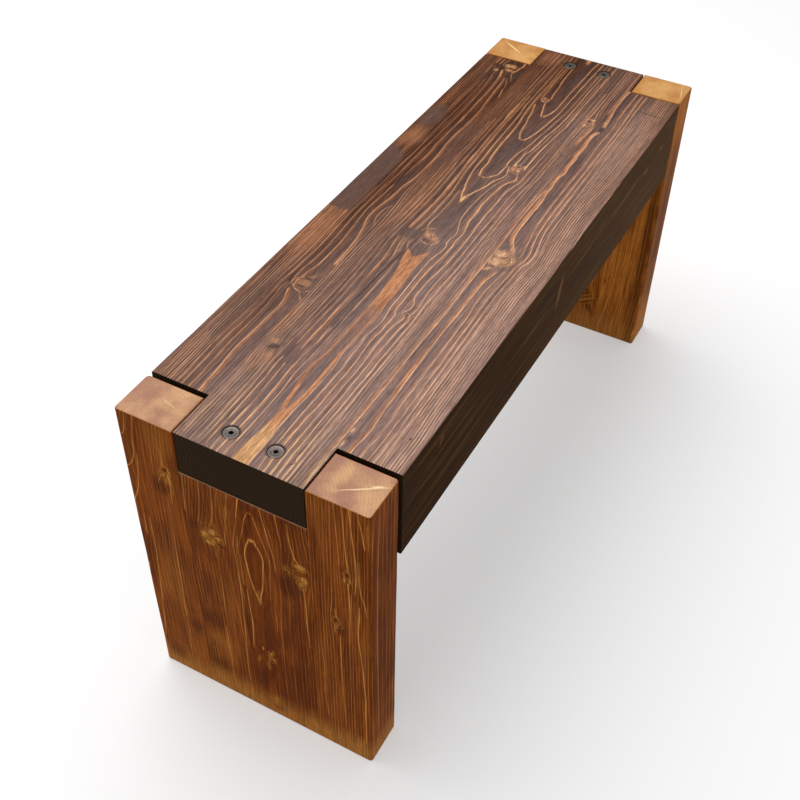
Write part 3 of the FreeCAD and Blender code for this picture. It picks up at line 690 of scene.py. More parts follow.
# The marks around the knots, and the flecks beside them. Each has its middle along and across
# the seat, its half length and half width, its turn, and its strength.
tan_marks = [
    (-44, -87, 17, 15, 0, 0.95), (141, -21, 11, 9, 0, 0.7), (384, 100, 11, 12, 0, 0.45),
    (284, -58, 7, 4.5, 0, 0.7), (296, -60, 6, 6, 0, 0.7), (-45, 7, 11, 10, 0, 0.6),
    (-196, 90, 13, 11, 0, 0.75), (-292, 67, 14, 8, 8, 0.6), (-329, 54, 18, 9, 22, 0.6),
    (-316, 58, 9, 5, 10, 0.8), (-304, 51, 6, 3, -10, 0.8), (-333, -127, 2, 17, 0, 0.4),
    (-24, -95, 8, 2.5, 10, 0.6), (-176, 85, 10, 4.5, -36, 0.75),
]
amber_marks = [
    (384, 100, 8, 10, 10, 0.75), (374, 97, 5, 8, 0, 0.7), (366, 115, 5, 4, 0, 0.7),
    (372, 120, 5, 0.9, 0, 0.7), (352, 113, 12, 0.8, 0, 0.5), (322, 18, 4.4, 4.0, 0, 0.9),
    (286, -55.5, 5.5, 3.4, 0, 0.8), (303, -61.5, 4, 4, 0, 0.8), (295, -65, 5, 2.6, 10, 0.8),
    (300, -78.5, 8, 2.0, 4, 0.9), (142.5, -21, 10, 9, 0, 0.9), (-41.5, 10, 8.0, 7.2, 20, 0.85),
    (-46.5, 1.5, 7.0, 5.6, 25, 0.85), (-50, -5.5, 6, 2.2, 0, 0.8), (-48, -84, 12, 11, 0, 0.9),
    (-34, -84, 11, 11.5, 0, 0.85), (-44, -96, 11, 4.5, -6, 0.7), (-195, 90, 6.4, 8.6, 5, 0.7),
    (-181, 88, 6, 2.6, -40, 0.5), (-66, -79, 7.5, 3.4, -38, 0.9), (-295, 64.5, 4.4, 5, 0, 0.8),
    (-318, 57, 7, 3.4, 12, 0.6), (-392, -77.7, 6.5, 2.0, -4, 0.9), (-370.5, -77.5, 5, 2.4, 0, 0.9),
    (50, 8.8, 11, 3.4, -8, 1.0), (454, 6.4, 9, 3.4, 4, 1.0), (463, 7.4, 8, 6.8, 0, 1.0),
    (113, -29.5, 7, 2.4, -30, 0.6), (-193, -37, 5, 2.4, 30, 0.6),
]
pale_marks = [
    (386, 103.5, 4.6, 6.0, 20, 0.8), (373.5, 98, 2.2, 6.4, 8, 0.6), (386, 94.5, 2.6, 4.4, 0, 0.7),
    (366, 115, 3.6, 2.8, 0, 0.8), (360, 104.3, 11, 1.4, 14, 0.8), (391, 97, 5, 0.8, -70, 0.5),
    (323, 15, 1.9, 1.5, 0, 0.95), (327, 21.5, 1.6, 1.4, 0, 0.9), (316.5, 19.5, 1.6, 1.8, 0, 0.8),
    (304, -61.5, 3.2, 2.8, 0, 1.0), (287, -55, 3.8, 1.5, 0, 0.8), (306, -78.5, 5, 1.2, 3, 0.6),
    (149, -28.5, 4.4, 2.2, 10, 1.0), (138, -24.5, 4.0, 2.4, 30, 0.8),
    (150, -15.2, 4.4, 1.7, 5, 0.9), (137.5, -16, 3.2, 1.8, 10, 0.8), (-42, 12, 3.6, 1.2, 40, 0.3),
    (-47.5, 1.5, 3.6, 1.2, 30, 0.3), (-33.5, -81, 6.0, 7.0, -20, 0.85),
    (-50, -82, 8.0, 5.0, 25, 0.6), (-45, -91, 3, 3, 0, 0.5), (-54, -76, 5, 1.4, 12, 0.6),
    (-38, -97, 7, 1.2, 20, 0.7), (-66.5, -78.7, 5.0, 1.6, -38, 0.6), (-22, -90, 6, 0.8, 33, 0.6),
    (-218.5, 81.5, 8, 1.3, 35, 0.6), (-206, 80, 2.6, 0.9, -63, 0.8),
    (-208.5, 93.5, 6, 0.9, 74, 0.8), (-203.5, 99.7, 3.5, 1.0, 20, 0.9),
    (-392, -77.6, 5.0, 1.2, -4, 0.7), (-370.5, -77.3, 4.0, 1.5, 0, 0.7),
    (286, -106, 0.8, 13, 0, 0.3), (47, 9.3, 6.4, 2.0, 0, 1.0), (457, 6.4, 7, 1.6, 2, 0.6),
]
dark_marks = [
    (375, 109, 4.0, 3, 0, 0.6), (396, 93, 6, 4.4, 0, 0.8), (345, 80, 12, 4, 0, 0.5),
    (379.5, 98, 1.5, 7, -12, 0.8), (392, 108, 1.4, 4.5, 10, 0.6), (369.5, 108.5, 2.5, 1.6, 0, 0.6),
    (321, 18, 1.7, 1.5, 0, 0.9), (299, -57.2, 2.2, 2.4, 0, 0.9), (284, -51.5, 3.4, 0.8, 0, 0.5),
    (286.5, -79, 2.8, 3.6, 0, 0.7), (292, -59, 0.9, 3.2, 10, 0.6),
    (146.5, -21.5, 2.0, 3.0, 10, 0.9), (139.5, -20.3, 1.5, 1.2, 0, 0.8),
    (133, -20.5, 1.0, 4.0, 0, 0.6), (142, -11.8, 6, 0.8, 0, 0.5), (143.5, -25, 1.3, 0.8, 40, 0.7),
    (-53.5, 10, 2.6, 4.6, 0, 0.6), (-43.8, 6.4, 4.4, 0.8, 32, 0.7),
    (-38.5, -88.5, 7.5, 1.2, -46, 1.0), (-59, -82, 1.6, 5.2, 0, 0.5), (-42, -75.5, 6, 1.0, 5, 0.6),
    (-44, -92, 4, 0.7, -10, 0.6), (-201.6, 91, 1.8, 6.4, 0, 0.75),
    (-186.5, 90.5, 1.9, 6.0, 0, 0.7), (-194.5, 94, 2.2, 0.7, 0, 0.5),
    (-303.5, 60.5, 8.4, 3.6, -55, 0.85), (-187.3, -39, 1.6, 1.3, 0, 0.9),
    (-381.5, -80, 4.5, 2.6, 0, 0.7), (-353.5, -133, 2.0, 1.8, 0, 0.9),
    (357, -124, 2.6, 24, -4, 0.4),
]
# Rings round the knots, and dark rings of painted shade round the bolt recesses: middle, half
# lengths ahead and aside, the way they bulge, half their opening, half their width, and strength
amber_arcs = [
    (-46, 5.5, 13.5, 12, 190, 62, 1.4, 0.9), (-44, 8, 16.5, 15, 30, 38, 1.5, 0.9),
    (-44, 8, 13, 12.5, 25, 30, 0.9, 0.8), (-41, -85, 16, 15, 285, 62, 1.5, 0.95),
    (-41, -86, 12, 11, 300, 60, 0.8, 0.6), (-196, 90, 14, 11, 90, 72, 1.2, 0.85),
    (-196, 90, 10, 8.5, 100, 78, 0.8, 0.6), (-200, 88, 11, 11, 190, 34, 1.0, 0.7),
    (322, 18, 5.4, 5.2, 90, 175, 1.5, 1.0), (299, -57.3, 5.4, 5.4, 60, 175, 1.7, 1.0),
    (-187.4, -38.9, 3.0, 2.6, 0, 175, 0.9, 0.9), (141, -21, 10.5, 9.6, 160, 66, 1.1, 0.9),
    (-80, 60, 22, 14, 190, 50, 0.6, 0.3), (-10, 75, 30, 18, 150, 40, 0.6, 0.3),
    (113, 9, 10.2, 9.6, 180, 54, 1.9, 0.85), (217, 3.2, 7.6, 5.6, 180, 58, 1.6, 0.9),
    (285.5, 3.4, 7.6, 4.8, 180, 58, 1.5, 0.9),
]
dark_arcs_and_recess_shade = [
    (-44, 7, 7.5, 8.4, 180, 85, 0.8, 0.65), (-42, -84, 12.5, 11, 250, 50, 0.8, 0.7),
    (-436, -44, 7, 4.6, 255, 62, 0.9, 0.8), (141, -21, 8.4, 7.4, 330, 70, 0.8, 0.6),
    (-196, 90, 12.2, 9.8, 90, 80, 0.8, 0.5), (-44, 8, 14.8, 13.8, 28, 34, 0.6, 0.6),
    # Painted shade of the gap round each bolt head, on the top beside its recess
    (-432.5, 26.5, 10, 10, 0, 180, 1.2, 0.8), (-432.5, -26.5, 10, 10, 0, 180, 1.2, 0.8),
    (432.5, 26.5, 10, 10, 0, 180, 1.2, 0.8), (432.5, -26.5, 10, 10, 0, 180, 1.2, 0.8),
]
# Where the stain stands cooler and warmer, and where a painted sheen of the sky lies over it:
# middle, half lengths, turn and strength
cool_spots = [
    (-52, 30, 26, 12, 0, 0.9), (-22, 10, 30, 15, 0, 0.6), (-76, 8, 12, 7, 0, 0.8),
    (-17, -79, 22, 7, 0, 0.8), (-80, -79, 16, 5, 0, 0.7), (-190, 74, 26, 9, 0, 0.7),
    (-226, 97, 20, 7, 0, 0.7), (-278, 55, 36, 12, 0, 0.6), (-250, 131, 62, 9, 0, 0.9),
    (-315, 130, 16, 6, 0, 0.9), (360, 84, 26, 9, 0, 0.9), (352, 112, 40, 26, 0, 0.6),
    (180, 6, 70, 7, 0, 0.8), (90, 6, 40, 5, 0, 0.8), (-5, 4, 34, 9, 0, 0.9),
    (390, 3, 60, 7, 0, 0.9), (-130, 44, 105, 22, 0, 0.7), (-452, 60, 14, 14, 0, 0.5),
    (-455, -68, 12, 6, 0, 0.8), (-365, 42, 60, 28, 0, 0.7), (-212, 20, 70, 11, 0, 0.6),
    (340, 46, 60, 20, 0, 0.5), (-300, -4, 40, 8, 0, 0.6),
]
warm_spots = [
    (-100, 132, 58, 20, 0, 0.9), (148, 134, 30, 16, 0, 0.9), (-262, 72, 36, 9, 0, 0.5),
    (-330, 62, 22, 12, 0, 0.6), (300, 62, 110, 12, 0, 0.4), (20, 60, 90, 16, 0, 0.5),
    (440, 60, 30, 18, 0, 0.6),
]
painted_sheen_spots = [
    (265, -118, 120, 32, 0, 0.9), (290, -50, 60, 14, 0, 0.3), (-370, -60, 60, 20, 0, 0.3),
]
# Marks on the seat's side: along the bench, up it, half lengths, turn and strength
side_marks = [
    (-6, 397, 24, 6, 74, 0.8), (-80, 391, 32, 1.2, 2, 0.7), (95, 404, 80, 1.4, 3, 0.5),
    (215, 403, 56, 3.0, 3, 0.7), (289, 400, 10, 3, 0, 0.8), (348, 406, 10, 3, 0, 0.7),
    (-337, 387, 42, 1.0, -6, 0.5), (-230, 386, 66, 1.0, 2, 0.5), (-317, 420, 9, 4, 60, 0.5),
]
# How far the redder stain reaches along the bench, from one side of the seat to the other
redder_reach = [(-150, -200), (-114, -205), (-80, -225), (-48, -238), (-20, -165), (0, -100),
                (20, 20), (48, 160), (76, 220), (95, 330), (114, 430), (150, 480)]
# The seat's colours, each where the stain is thin and grey, with a painted sheen of the sky on
# it, and where it is full and red
ground_stain_and_sheen = (0.218, 0.145, 0.129), (0.047, 0.0185, 0.0115)
ruddy_stain = (0.330, 0.188, 0.140), (0.108, 0.038, 0.018)
cool_stain = (0.165, 0.116, 0.098), (0.068, 0.044, 0.035)
bare_line = (0.88, 0.55, 0.37), (0.54, 0.235, 0.105)
golden_line = (0.90, 0.58, 0.30), (0.68, 0.33, 0.12)
tan_knot = (0.34, 0.205, 0.145), (0.16, 0.080, 0.050)
orange_knot = (0.62, 0.310, 0.160), (0.48, 0.200, 0.085)
pale_knot = (0.86, 0.56, 0.31), (0.62, 0.345, 0.150)
# Dark knot marks, and the painted shade round the bolt recesses
dark_knot_and_recess_shade = (0.105, 0.062, 0.046), (0.040, 0.019, 0.012)
# Its amber wood, from the dark fibres to the bright ones, in general and at the near end
amber_wood = (0.40, 0.160, 0.076), (0.65, 0.292, 0.137)
bright_amber_wood = (0.50, 0.25, 0.105), (0.78, 0.44, 0.20)
deep_amber = (0.24, 0.095, 0.042)
warm_patch = (0.32, 0.140, 0.068)
# A pinkish grey painted sheen of the sky
painted_sheen_haze = (0.31, 0.195, 0.155)
smooth_patch = (0.117, 0.068, 0.054)
# Its sides and ends, which keep the full stain
right_side_stain = (0.0330, 0.0105, 0.0001), (0.068, 0.0270, 0.0025)
left_side_stain = (0.030, 0.0130, 0.0070), (0.056, 0.0260, 0.0145)
side_line = (0.135, 0.061, 0.016)
side_fleck = (0.210, 0.102, 0.033)
end_stain = (0.031, 0.0175, 0.0085), (0.046, 0.027, 0.0135)


def near_to(low, high, marks):
    """The marks that reach into the stretch of a timber between two places along it."""
    stray = 30
    return [mark for mark in marks if low - stray < mark[0] + max(mark[2:4])
            and mark[0] - max(mark[2:4]) < high + stray]


def stained_seat_finish(low, high):
    """Dark stain over brushed softwood, for the seat between two places along it."""
    material, place, (x, y, z) = new_finish(f"dark_stained_timber_{low:.0f}")
    tree = material.node_tree
    wave = speckle(place, (130, 22, 22), 3.0) * 3.0 + speckle(place, (28, 6, 6), 5.0) * 1.3
    felt = 2.3
    knots = [knot for knot in seat_knots
             if low - felt * knot[3] < knot[0] < high + felt * knot[3]]
    bent, clear = round_knots(x, y + wave * 0.5, tree, knots)
    aside = bent - follow(x, heart_across)
    radius = distance_of(aside, follow(x, heart_below) - bench_top + z)
    ring = follow(radius, ring_radii, smooth=False) - 0.04
    ring_number = reckon("FLOOR", ring)
    phase = ring - ring_number
    # A line's width on the face stays much the same, however flat the ring lies under it
    crowded = ramp(radius, 60.0, 90.0)
    line_share = absolute(aside) / radius * 0.17 + crowded * 0.14 + 0.06
    before = (1.0 - phase) / line_share
    late_wood = ramp(before, 1.15, 0.55) * ramp(before, 0.0, 0.2)
    side = reckon("GREATER_THAN", aside, 0.0)
    own_strength = chance(ring_number + side * 100.0 + 0.5) * 0.72 + 0.28
    worn = ramp(speckle(place, (95, 9, 9), 17.0, detail=3.0), -0.2, 0.1) * 0.65 + 0.35
    fine_share = follow(y + wave, fine_shares) * clear
    if high > 250:
        fine_share = fine_share + between(y, -70.0, -36.0, 3.0) * ramp(x, 230.0, 290.0) * 0.4
        fine_share = fine_share + between(y, 22.0, 60.0, 3.0) * ramp(x, 240.0, 320.0) * 0.5
    line = late_wood * own_strength * worn * fine_share
    flank = ramp(before, 4.5, 1.0) * (own_strength * 0.5 + 0.25) * fine_share
    # The strong lines, each followed by its warm side
    across = y + wave * 0.12 + speckle(place, (14, 5, 5), 61.0) * 0.6
    edges, warm_sides = grown_lines(x, across, low, high, seat_lines, 0.0)
    line = reckon("MAXIMUM", line, edges)
    line = line * (worn * 0.45 + 0.55)
    # The stain is redder and darker towards the far left corner. Towards the near right it is
    # greyer, partly thin stain and partly a painted sheen of the sky
    blots = speckle(place, (150, 60, 60), 23.0, detail=2.0)
    uneven = shaken(x, y + wave, place, 43.0, 26.0, 5.0)
    cool = ovals(uneven, near_to(low, high, cool_spots), 0.8)
    warm = ovals(uneven, near_to(low, high, warm_spots), 0.8)
    leaning = follow(y, redder_reach)
    dapple = ramp(x + leaning, -620.0, 640.0) + blots * 0.35 + ramp(x, 200.0, 330.0, 0.06)
    dapple = reckon("MINIMUM", reckon("MAXIMUM", dapple, 0.0), 1.0)
    ground = blend(dapple, *ground_stain_and_sheen)
    ruddy = blend(dapple, *ruddy_stain)
    lit = blend(dapple, *bare_line)
    golden = ramp(absolute(aside), 42.0, 14.0) * ramp(x, -40.0, 30.0)
    golden = reckon("MAXIMUM", golden, ramp(x, -370.0, -420.0) * 0.7)
    lit = blend(golden * 0.8, lit, blend(dapple, *golden_line))
    fine = speckle(place, (75, 1.5, 1.5), 29.0, detail=2.0)
    grit = speckle(place, (13, 1.5, 1.5), 47.0, detail=2.0, roughness=0.7)
    clouds = speckle(place, (46, 9, 9), 81.0, detail=3.0)
    colour = blend(ramp(clouds, -0.12, 0.22) * 0.55, ground, ruddy)
    colour = blend(flank, colour, ruddy)
    colour = blend(warm * 0.75, colour, warm_patch)
    # A painted sheen of the sky, pinkish grey, over parts of the top
    sheen_share = ovals(uneven, near_to(low, high, painted_sheen_spots), 0.9)
    colour = blend(sheen_share * 0.7, colour, painted_sheen_haze)
    shade = blend(ramp(fine, -0.24, 0.24), (0.67, 0.67, 0.69), (1.36, 1.33, 1.31))
    colour = vector_math("MULTIPLY", colour, shade)
    colour = blend(cool * 0.6, colour, blend(dapple, *cool_stain))
    amber_fibres = ramp(fine + grit * 0.5, -0.22, 0.22)
    amber = blend(amber_fibres, *amber_wood)
    amber = blend(ramp(x, -385.0, -425.0), amber, blend(amber_fibres, *bright_amber_wood))
    amber = blend(ramp(y, 40.0, 90.0) * dapple * 0.9, amber, deep_amber)
    colour = blend(warm_sides * (worn * 0.5 + 0.9), colour, amber)
    colour = blend(line * (1.0 - cool * 0.25), colour, lit)
    # The amber band along the heart, with long fibres in it
    if low < -50:
        band_place = y + wave * 0.25
        band = between(band_place, follow(x, band_right), follow(x, band_left))
        lens = between(band_place, follow(x, lens_right), follow(x, lens_left))
        tail = between(band_place, follow(x, tail_right), follow(x, tail_left)) * ramp(x, -95, -88)
        faded = ramp(x, -290.0, -265.0) * ramp(x, -170.0, -215.0) * 0.8
        faded = faded * (between(band_place, -8.0, 4.0, 2.0) * 0.8 + 0.2)
        band = band * ramp(x, -60.0, -80.0) * (1.0 - lens) * (1.0 - tail) * (1.0 - faded)
        colour = blend(band * (1.0 - line) * 0.88, colour, amber)
    # Two smooth dark patches, where the plane left no line standing
    if low < 240 and high > -60:
        smooth = ramp(x, -47.5, -44.5) * ramp(y + wave, 116.0, 122.0)
        smooth = smooth * ramp(x - y * 0.8 + wave * 3.0, 12.0, -12.0)
        smooth = reckon("MAXIMUM", smooth, ovals(uneven, [(207, 135, 38, 15, 0, 0.9)], 0.5))
        colour = blend(smooth * 0.85, colour, smooth_patch)
    # The knots, mark by mark
    spot = shaken(x, y + wave * 0.2, place, 71.0, 7.0, 1.1)
    fibres = ramp(speckle(place, (4.5, 1.7, 1.7), 77.0, detail=3.0), -0.15, 0.17) * 0.8 + 0.25
    tan = ovals(spot, near_to(low, high, tan_marks)) * 0.8
    orange = reckon("MAXIMUM", ovals(spot, near_to(low, high, amber_marks)),
                    arcs(spot, near_to(low, high, amber_arcs)))
    bright = ovals(spot, near_to(low, high, pale_marks)) * fibres
    # Dark knot marks, and painted shade round the bolt recesses
    deep = reckon("MAXIMUM", ovals(spot, near_to(low, high, dark_marks)),
                  arcs(spot, near_to(low, high, dark_arcs_and_recess_shade)))
    colour = blend(tan, colour, blend(dapple, *tan_knot))
    colour = blend(orange * fibres, colour, blend(dapple, *orange_knot))
    colour = blend(bright, colour, blend(dapple, *pale_knot))
    colour = blend(deep * 0.85, colour, blend(dapple, *dark_knot_and_recess_shade))
    shade_of_grit = blend(ramp(grit, -0.2, 0.2), (0.80, 0.80, 0.80), (1.20, 1.20, 1.20))
    colour = vector_math("MULTIPLY", colour, shade_of_grit)
    # The sides and the ends keep the full stain, and end grain drinks the most
    along_face, side_face, up_face = facing(tree)
    side_share = ramp(up_face, 0.8, 0.3)
    end_share = ramp(absolute(along_face), 0.5, 0.9)
    side_spot = shaken(x, z, place, 91.0, 9.0, 1.6)
    side_tone = ramp(speckle(place, (160, 40, 26), 33.0, detail=3.0) + x * 0.0008, -0.3, 0.35)
    side_ground = blend(side_tone, *right_side_stain)
    side_lines = ramp(speckle(place, (190, 3.2, 3.2), 37.0, detail=2.0), 0.0, 0.18)
    side_colour = blend(side_lines * 0.5, side_ground, side_line)
    flecks = ovals(side_spot, near_to(low, high, side_marks)) * ramp(side_face, -0.3, -0.7)
    side_colour = blend(flecks * 0.9, side_colour, side_fleck)
    left_colour = blend(side_tone, *left_side_stain)
    side_colour = blend(ramp(side_face, 0.3, 0.7), side_colour, left_colour)
    side_colour = vector_math("MULTIPLY", side_colour, shade)
    end_colour = blend(late_wood, *end_stain)
    colour = blend(side_share, colour, side_colour)
    colour = blend(end_share, colour, end_colour)
    roughness = 0.58 - line * 0.12 + fine * 0.2
    return varnish(material, colour, roughness, fine * 0.7 + grit * 0.35, 0.25,
                   Specular_IOR_Level=0.012)


def plank(low, high):
    """A squared timber between two corners."""
    timber = bmesh.new()
    bmesh.ops.create_cube(timber, size=1)
    middle = (Vector(low) + Vector(high)) / 2
    bmesh.ops.scale(timber, vec=Vector(high) - Vector(low), verts=timber.verts)
    bmesh.ops.translate(timber, vec=middle, verts=timber.verts)
    return timber


def saw_through(timber, point, normal):
    """Marks a plane across the timber, as new edges round it."""
    everything = [*timber.verts, *timber.edges, *timber.faces]
    bmesh.ops.bisect_plane(timber, geom=everything, plane_co=point, plane_no=normal)


def ease(timber, width, segments, wanted):
    """Rounds the sharp edges that pass a test, given the edge's two ends."""
    least_angle = 0.5
    chosen = [edge for edge in timber.edges if wanted(*(vert.co for vert in edge.verts))
              and edge.calc_face_angle(0) > least_angle]
    bmesh.ops.bevel(timber, geom=chosen, offset=width, segments=segments, profile=0.5,
                    affect="EDGES", material=-1)


# Places that lie closer than this count as the same
hair = 1e-6


def hand_worn(timber, axis, step, reach, seed):
    """Cuts the long edges into short steps and varies the rounding of each long corner."""
    wear_length = 60 * mm
    wear_share = 0.3
    others = [index for index in range(3) if index != axis]
    edges = [edge for edge in timber.edges if edge.calc_length() > 2 * step
             and all(abs(edge.verts[0].co[i] - edge.verts[1].co[i]) < hair for i in others)]
    # Edges of one length are cut together, into the same number of steps
    by_cuts = {}
    for edge in edges:
        by_cuts.setdefault(int(edge.calc_length() / step), []).append(edge)
    for cuts, group in by_cuts.items():
        bmesh.ops.subdivide_edges(timber, edges=group, cuts=cuts)
    low = [min(vert.co[i] for vert in timber.verts) for i in others]
    high = [max(vert.co[i] for vert in timber.verts) for i in others]
    for vert in timber.verts:
        corner = [low[n] if vert.co[i] < (low[n] + high[n]) / 2 else high[n]
                  for n, i in enumerate(others)]
        inside = [vert.co[i] - corner[n] for n, i in enumerate(others)]
        if max(abs(inside[0]), abs(inside[1])) < reach:
            turn = noise.noise(vert.co / wear_length + Vector((seed + corner[0] * 90, 0, 0)))
            for n, i in enumerate(others):
                vert.co[i] = corner[n] + inside[n] * (1.0 + wear_share * turn)


def finished(name, timber, material, slot_name, *nodes):
    """Makes a piece of a worked timber, which stands for its nodes of the construction."""
    mesh = bpy.data.meshes.new(name)
    bmesh.ops.recalc_face_normals(timber, faces=timber.faces)
    timber.to_mesh(mesh)
    timber.free()
    for face in mesh.polygons:
        face.use_smooth = True
    mesh.set_sharp_from_angle(angle=math.radians(40))
    piece = bpy.data.objects.new(name, mesh)
    bpy.context.scene.collection.objects.link(piece)
    piece.data.materials.append(material)
    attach(piece, "root")
    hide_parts(*nodes)
    return piece


def cut_away(piece, cutter):
    """Takes the cutter's shape out of a piece, and the cutter off the bench."""
    mesh = bpy.data.meshes.new("cutter")
    bmesh.ops.recalc_face_normals(cutter, faces=cutter.faces)
    cutter.to_mesh(mesh)
    cutter.free()
    tool = bpy.data.objects.new("cutter", mesh)
    bpy.context.scene.collection.objects.link(tool)
    cut = piece.modifiers.new("cut", "BOOLEAN")
    cut.object = tool
    cut.solver = "EXACT"
    bpy.context.view_layer.update()
    shown = piece.evaluated_get(bpy.context.evaluated_depsgraph_get())
    result = bpy.data.meshes.new_from_object(shown)
    piece.modifiers.remove(cut)
    bpy.data.objects.remove(tool)
    old = piece.data
    piece.data = result
    result.name = old.name
    bpy.data.meshes.remove(old)


def flat_shaded_faces(piece):
    """Keeps wide faces flat beside their rounded edges."""
    steady = piece.modifiers.new("steady_faces", "WEIGHTED_NORMAL")
    steady.keep_sharp = True


shoulder_gap = {"near": 6 * mm, "far": 2 * mm}
tongue_side_gap = 1.5 * mm
seat_rounding = 2 * mm
tongue_rounding = 1 * mm
worn_step = 9 * mm

seat_low, seat_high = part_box("seat_beam")
near_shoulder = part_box("near_left_post")[1].x + shoulder_gap["near"]
far_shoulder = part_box("far_left_post")[0].x - shoulder_gap["far"]
tongue_half_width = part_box("near_left_post")[0].y - tongue_side_gap
lap_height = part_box("near_middle_board")[1].z

seat = plank((near_shoulder, seat_low.y, seat_low.z), (far_shoulder, seat_high.y, seat_high.z))
for cut_across in (-tongue_half_width, tongue_half_width):
    saw_through(seat, (0, cut_across, 0), (0, 1, 0))
saw_through(seat, (0, 0, lap_height), (0, 0, 1))
for shoulder, tongue_end in ((near_shoulder, seat_low.x), (far_shoulder, seat_high.x)):
    root = [face for face in seat.faces
            if abs(face.calc_center_median().x - shoulder) < hair
            and abs(face.calc_center_median().y) < tongue_half_width
            and face.calc_center_median().z > lap_height]
    grown = bmesh.ops.extrude_face_region(seat, geom=root)["geom"]
    moved = [item for item in grown if isinstance(item, bmesh.types.BMVert)]
    bmesh.ops.translate(seat, vec=(tongue_end - shoulder, 0, 0), verts=moved)
    bmesh.ops.delete(seat, geom=root, context="FACES_ONLY")
ease(seat, seat_rounding, 3, lambda a, b: abs(a.x - b.x) > tongue_half_width
     and abs(a.y) > tongue_half_width + seat_rounding and abs(a.y - b.y) < hair)
ease(seat, tongue_rounding, 2, lambda a, b: abs(a.x - b.x) < hair
     and min(abs(a.x - seat_low.x), abs(a.x - seat_high.x)) < hair)
# Each stretch of the seat has its own finish, which holds only the marks that lie there
stretch_ends = [-475, -345, -245, -120, 10, 95, 240, 340, 475]
for start in stretch_ends[1:-1]:
    saw_through(seat, (start * mm, 0, 0), (1, 0, 0))
hand_worn(seat, 0, worn_step, 1.2 * seat_rounding, 4.0)
seat_finishes = [stained_seat_finish(*stretch) for stretch in zip(stretch_ends, stretch_ends[1:])]
seat_piece = finished("seat_timber", seat, seat_finishes[0], "seat_timber", "seat_beam")

# The recesses for the bolt heads and the holes for the shanks
recess_radius = 9.3 * mm
hole_radius = 3.4 * mm
head_height = 2.2 * mm
drill_overrun = 5 * mm
for end in ("near", "far"):
    for side_name in ("left", "right"):
        bolt_low, bolt_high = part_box(f"{end}_{side_name}_bolt")
        spot = (bolt_low + bolt_high) / 2
        recess_floor = bolt_high.z - head_height
        for radius, floor in ((recess_radius, recess_floor),
                              (hole_radius, lap_height - drill_overrun)):
            drill = bmesh.new()
            depth = seat_high.z + drill_overrun - floor
            bmesh.ops.create_cone(drill, cap_ends=True, segments=48, radius1=radius,
                                  radius2=radius, depth=depth)
            bmesh.ops.translate(drill, vec=(spot.x, spot.y, floor + depth / 2),
                                verts=drill.verts)
            cut_away(seat_piece, drill)

# The narrow drying crack beside the heart: its outline, along and across the seat
crack_edge = [(-262, 29.2), (-242, 27.8), (-190, 26.4), (-135, 24.4), (-90, 22.0), (-51, 17.6),
              (-90, 21.2), (-135, 23.6), (-190, 25.8), (-242, 27.4)]
crack_depth = 2.5 * mm
crack = bmesh.new()
outline = [crack.verts.new((x * mm, y * mm, seat_high.z + crack_depth)) for x, y in crack_edge]
crack.faces.new(outline)
grown = bmesh.ops.extrude_face_region(crack, geom=crack.faces[:])["geom"]
bmesh.ops.translate(crack, vec=(0, 0, -2 * crack_depth),
                    verts=[item for item in grown if isinstance(item, bmesh.types.BMVert)])
cut_away(seat_piece, crack)
for finish in seat_finishes[1:]:
    seat_piece.data.materials.append(finish)
for face in seat_piece.data.polygons:
    face.material_index = sum(face.center.x > start * mm for start in stretch_ends[1:-1])
flat_shaded_faces(seat_piece)

# The leg frames: two full-height corner posts and a shorter middle board, edge glued and
# dowelled, of the same softwood, sanded and waxed honey brown. Posts and boards are sawn from
# different trees, so each has its own heart, rings and knots.

# Knots: up the piece, across it, radius, reach of the bent grain up and across, how much it bends
leg_knots = {
    "near_middle_board": [
        (301.0, 45.0, 14.0, 32.0, 20.0, 0.85), (306.0, -65.0, 13.0, 30.0, 19.0, 0.85),
        (121.0, -16.0, 6.0, 24.0, 9.0, 0.85),
    ],
    "near_left_post": [(378.0, 94.6, 7.0, 30.0, 9.0, 0.85)],
    "near_right_post": [
        (341.0, -122.5, 5.0, 24.0, 7.0, 0.85), (256.0, -107.5, 6.0, 26.0, 8.0, 0.85),
    ],
    "far_middle_board": [(66.0, -52.0, 10.0, 34.0, 16.0, 0.85)],
    "far_left_post": [(210.0, 104.0, 5.0, 28.0, 8.0, 0.85)],
    "far_right_post": [(108.0, -87.0, 2.5, 18.0, 4.0, 0.85)],
}
# Where the heart of each tree lies: along the bench from the bench's middle, and across it
leg_hearts = {
    "near_middle_board": ([(0, -418.5), (60, -418), (190, -419.5), (219, -420.8), (275, -422.5),
                           (329, -420.8), (372, -416.1), (400, -413)],
                          [(0, -12), (150, -11), (219, -9), (275, -8.4), (330, -7), (400, -8)]),
    "near_left_post": ([(0, -420), (100, -422), (200, -419), (300, -424), (380, -417),
                        (450, -420)], [(0, 160), (220, 164), (450, 160)]),
    "near_right_post": ([(0, -490), (200, -487), (450, -491)], [(0, -38), (250, -36), (450, -39)]),
    "far_middle_board": ([(0, 441), (150, 444), (300, 440), (400, 443)],
                         [(0, -6), (200, 2), (400, -2)]),
    "far_left_post": ([(0, 424), (220, 430), (450, 426)], [(0, 60), (220, 64), (450, 58)]),
    "far_right_post": ([(0, 500), (220, 496), (450, 502)], [(0, -60), (220, -66), (450, -60)]),
}
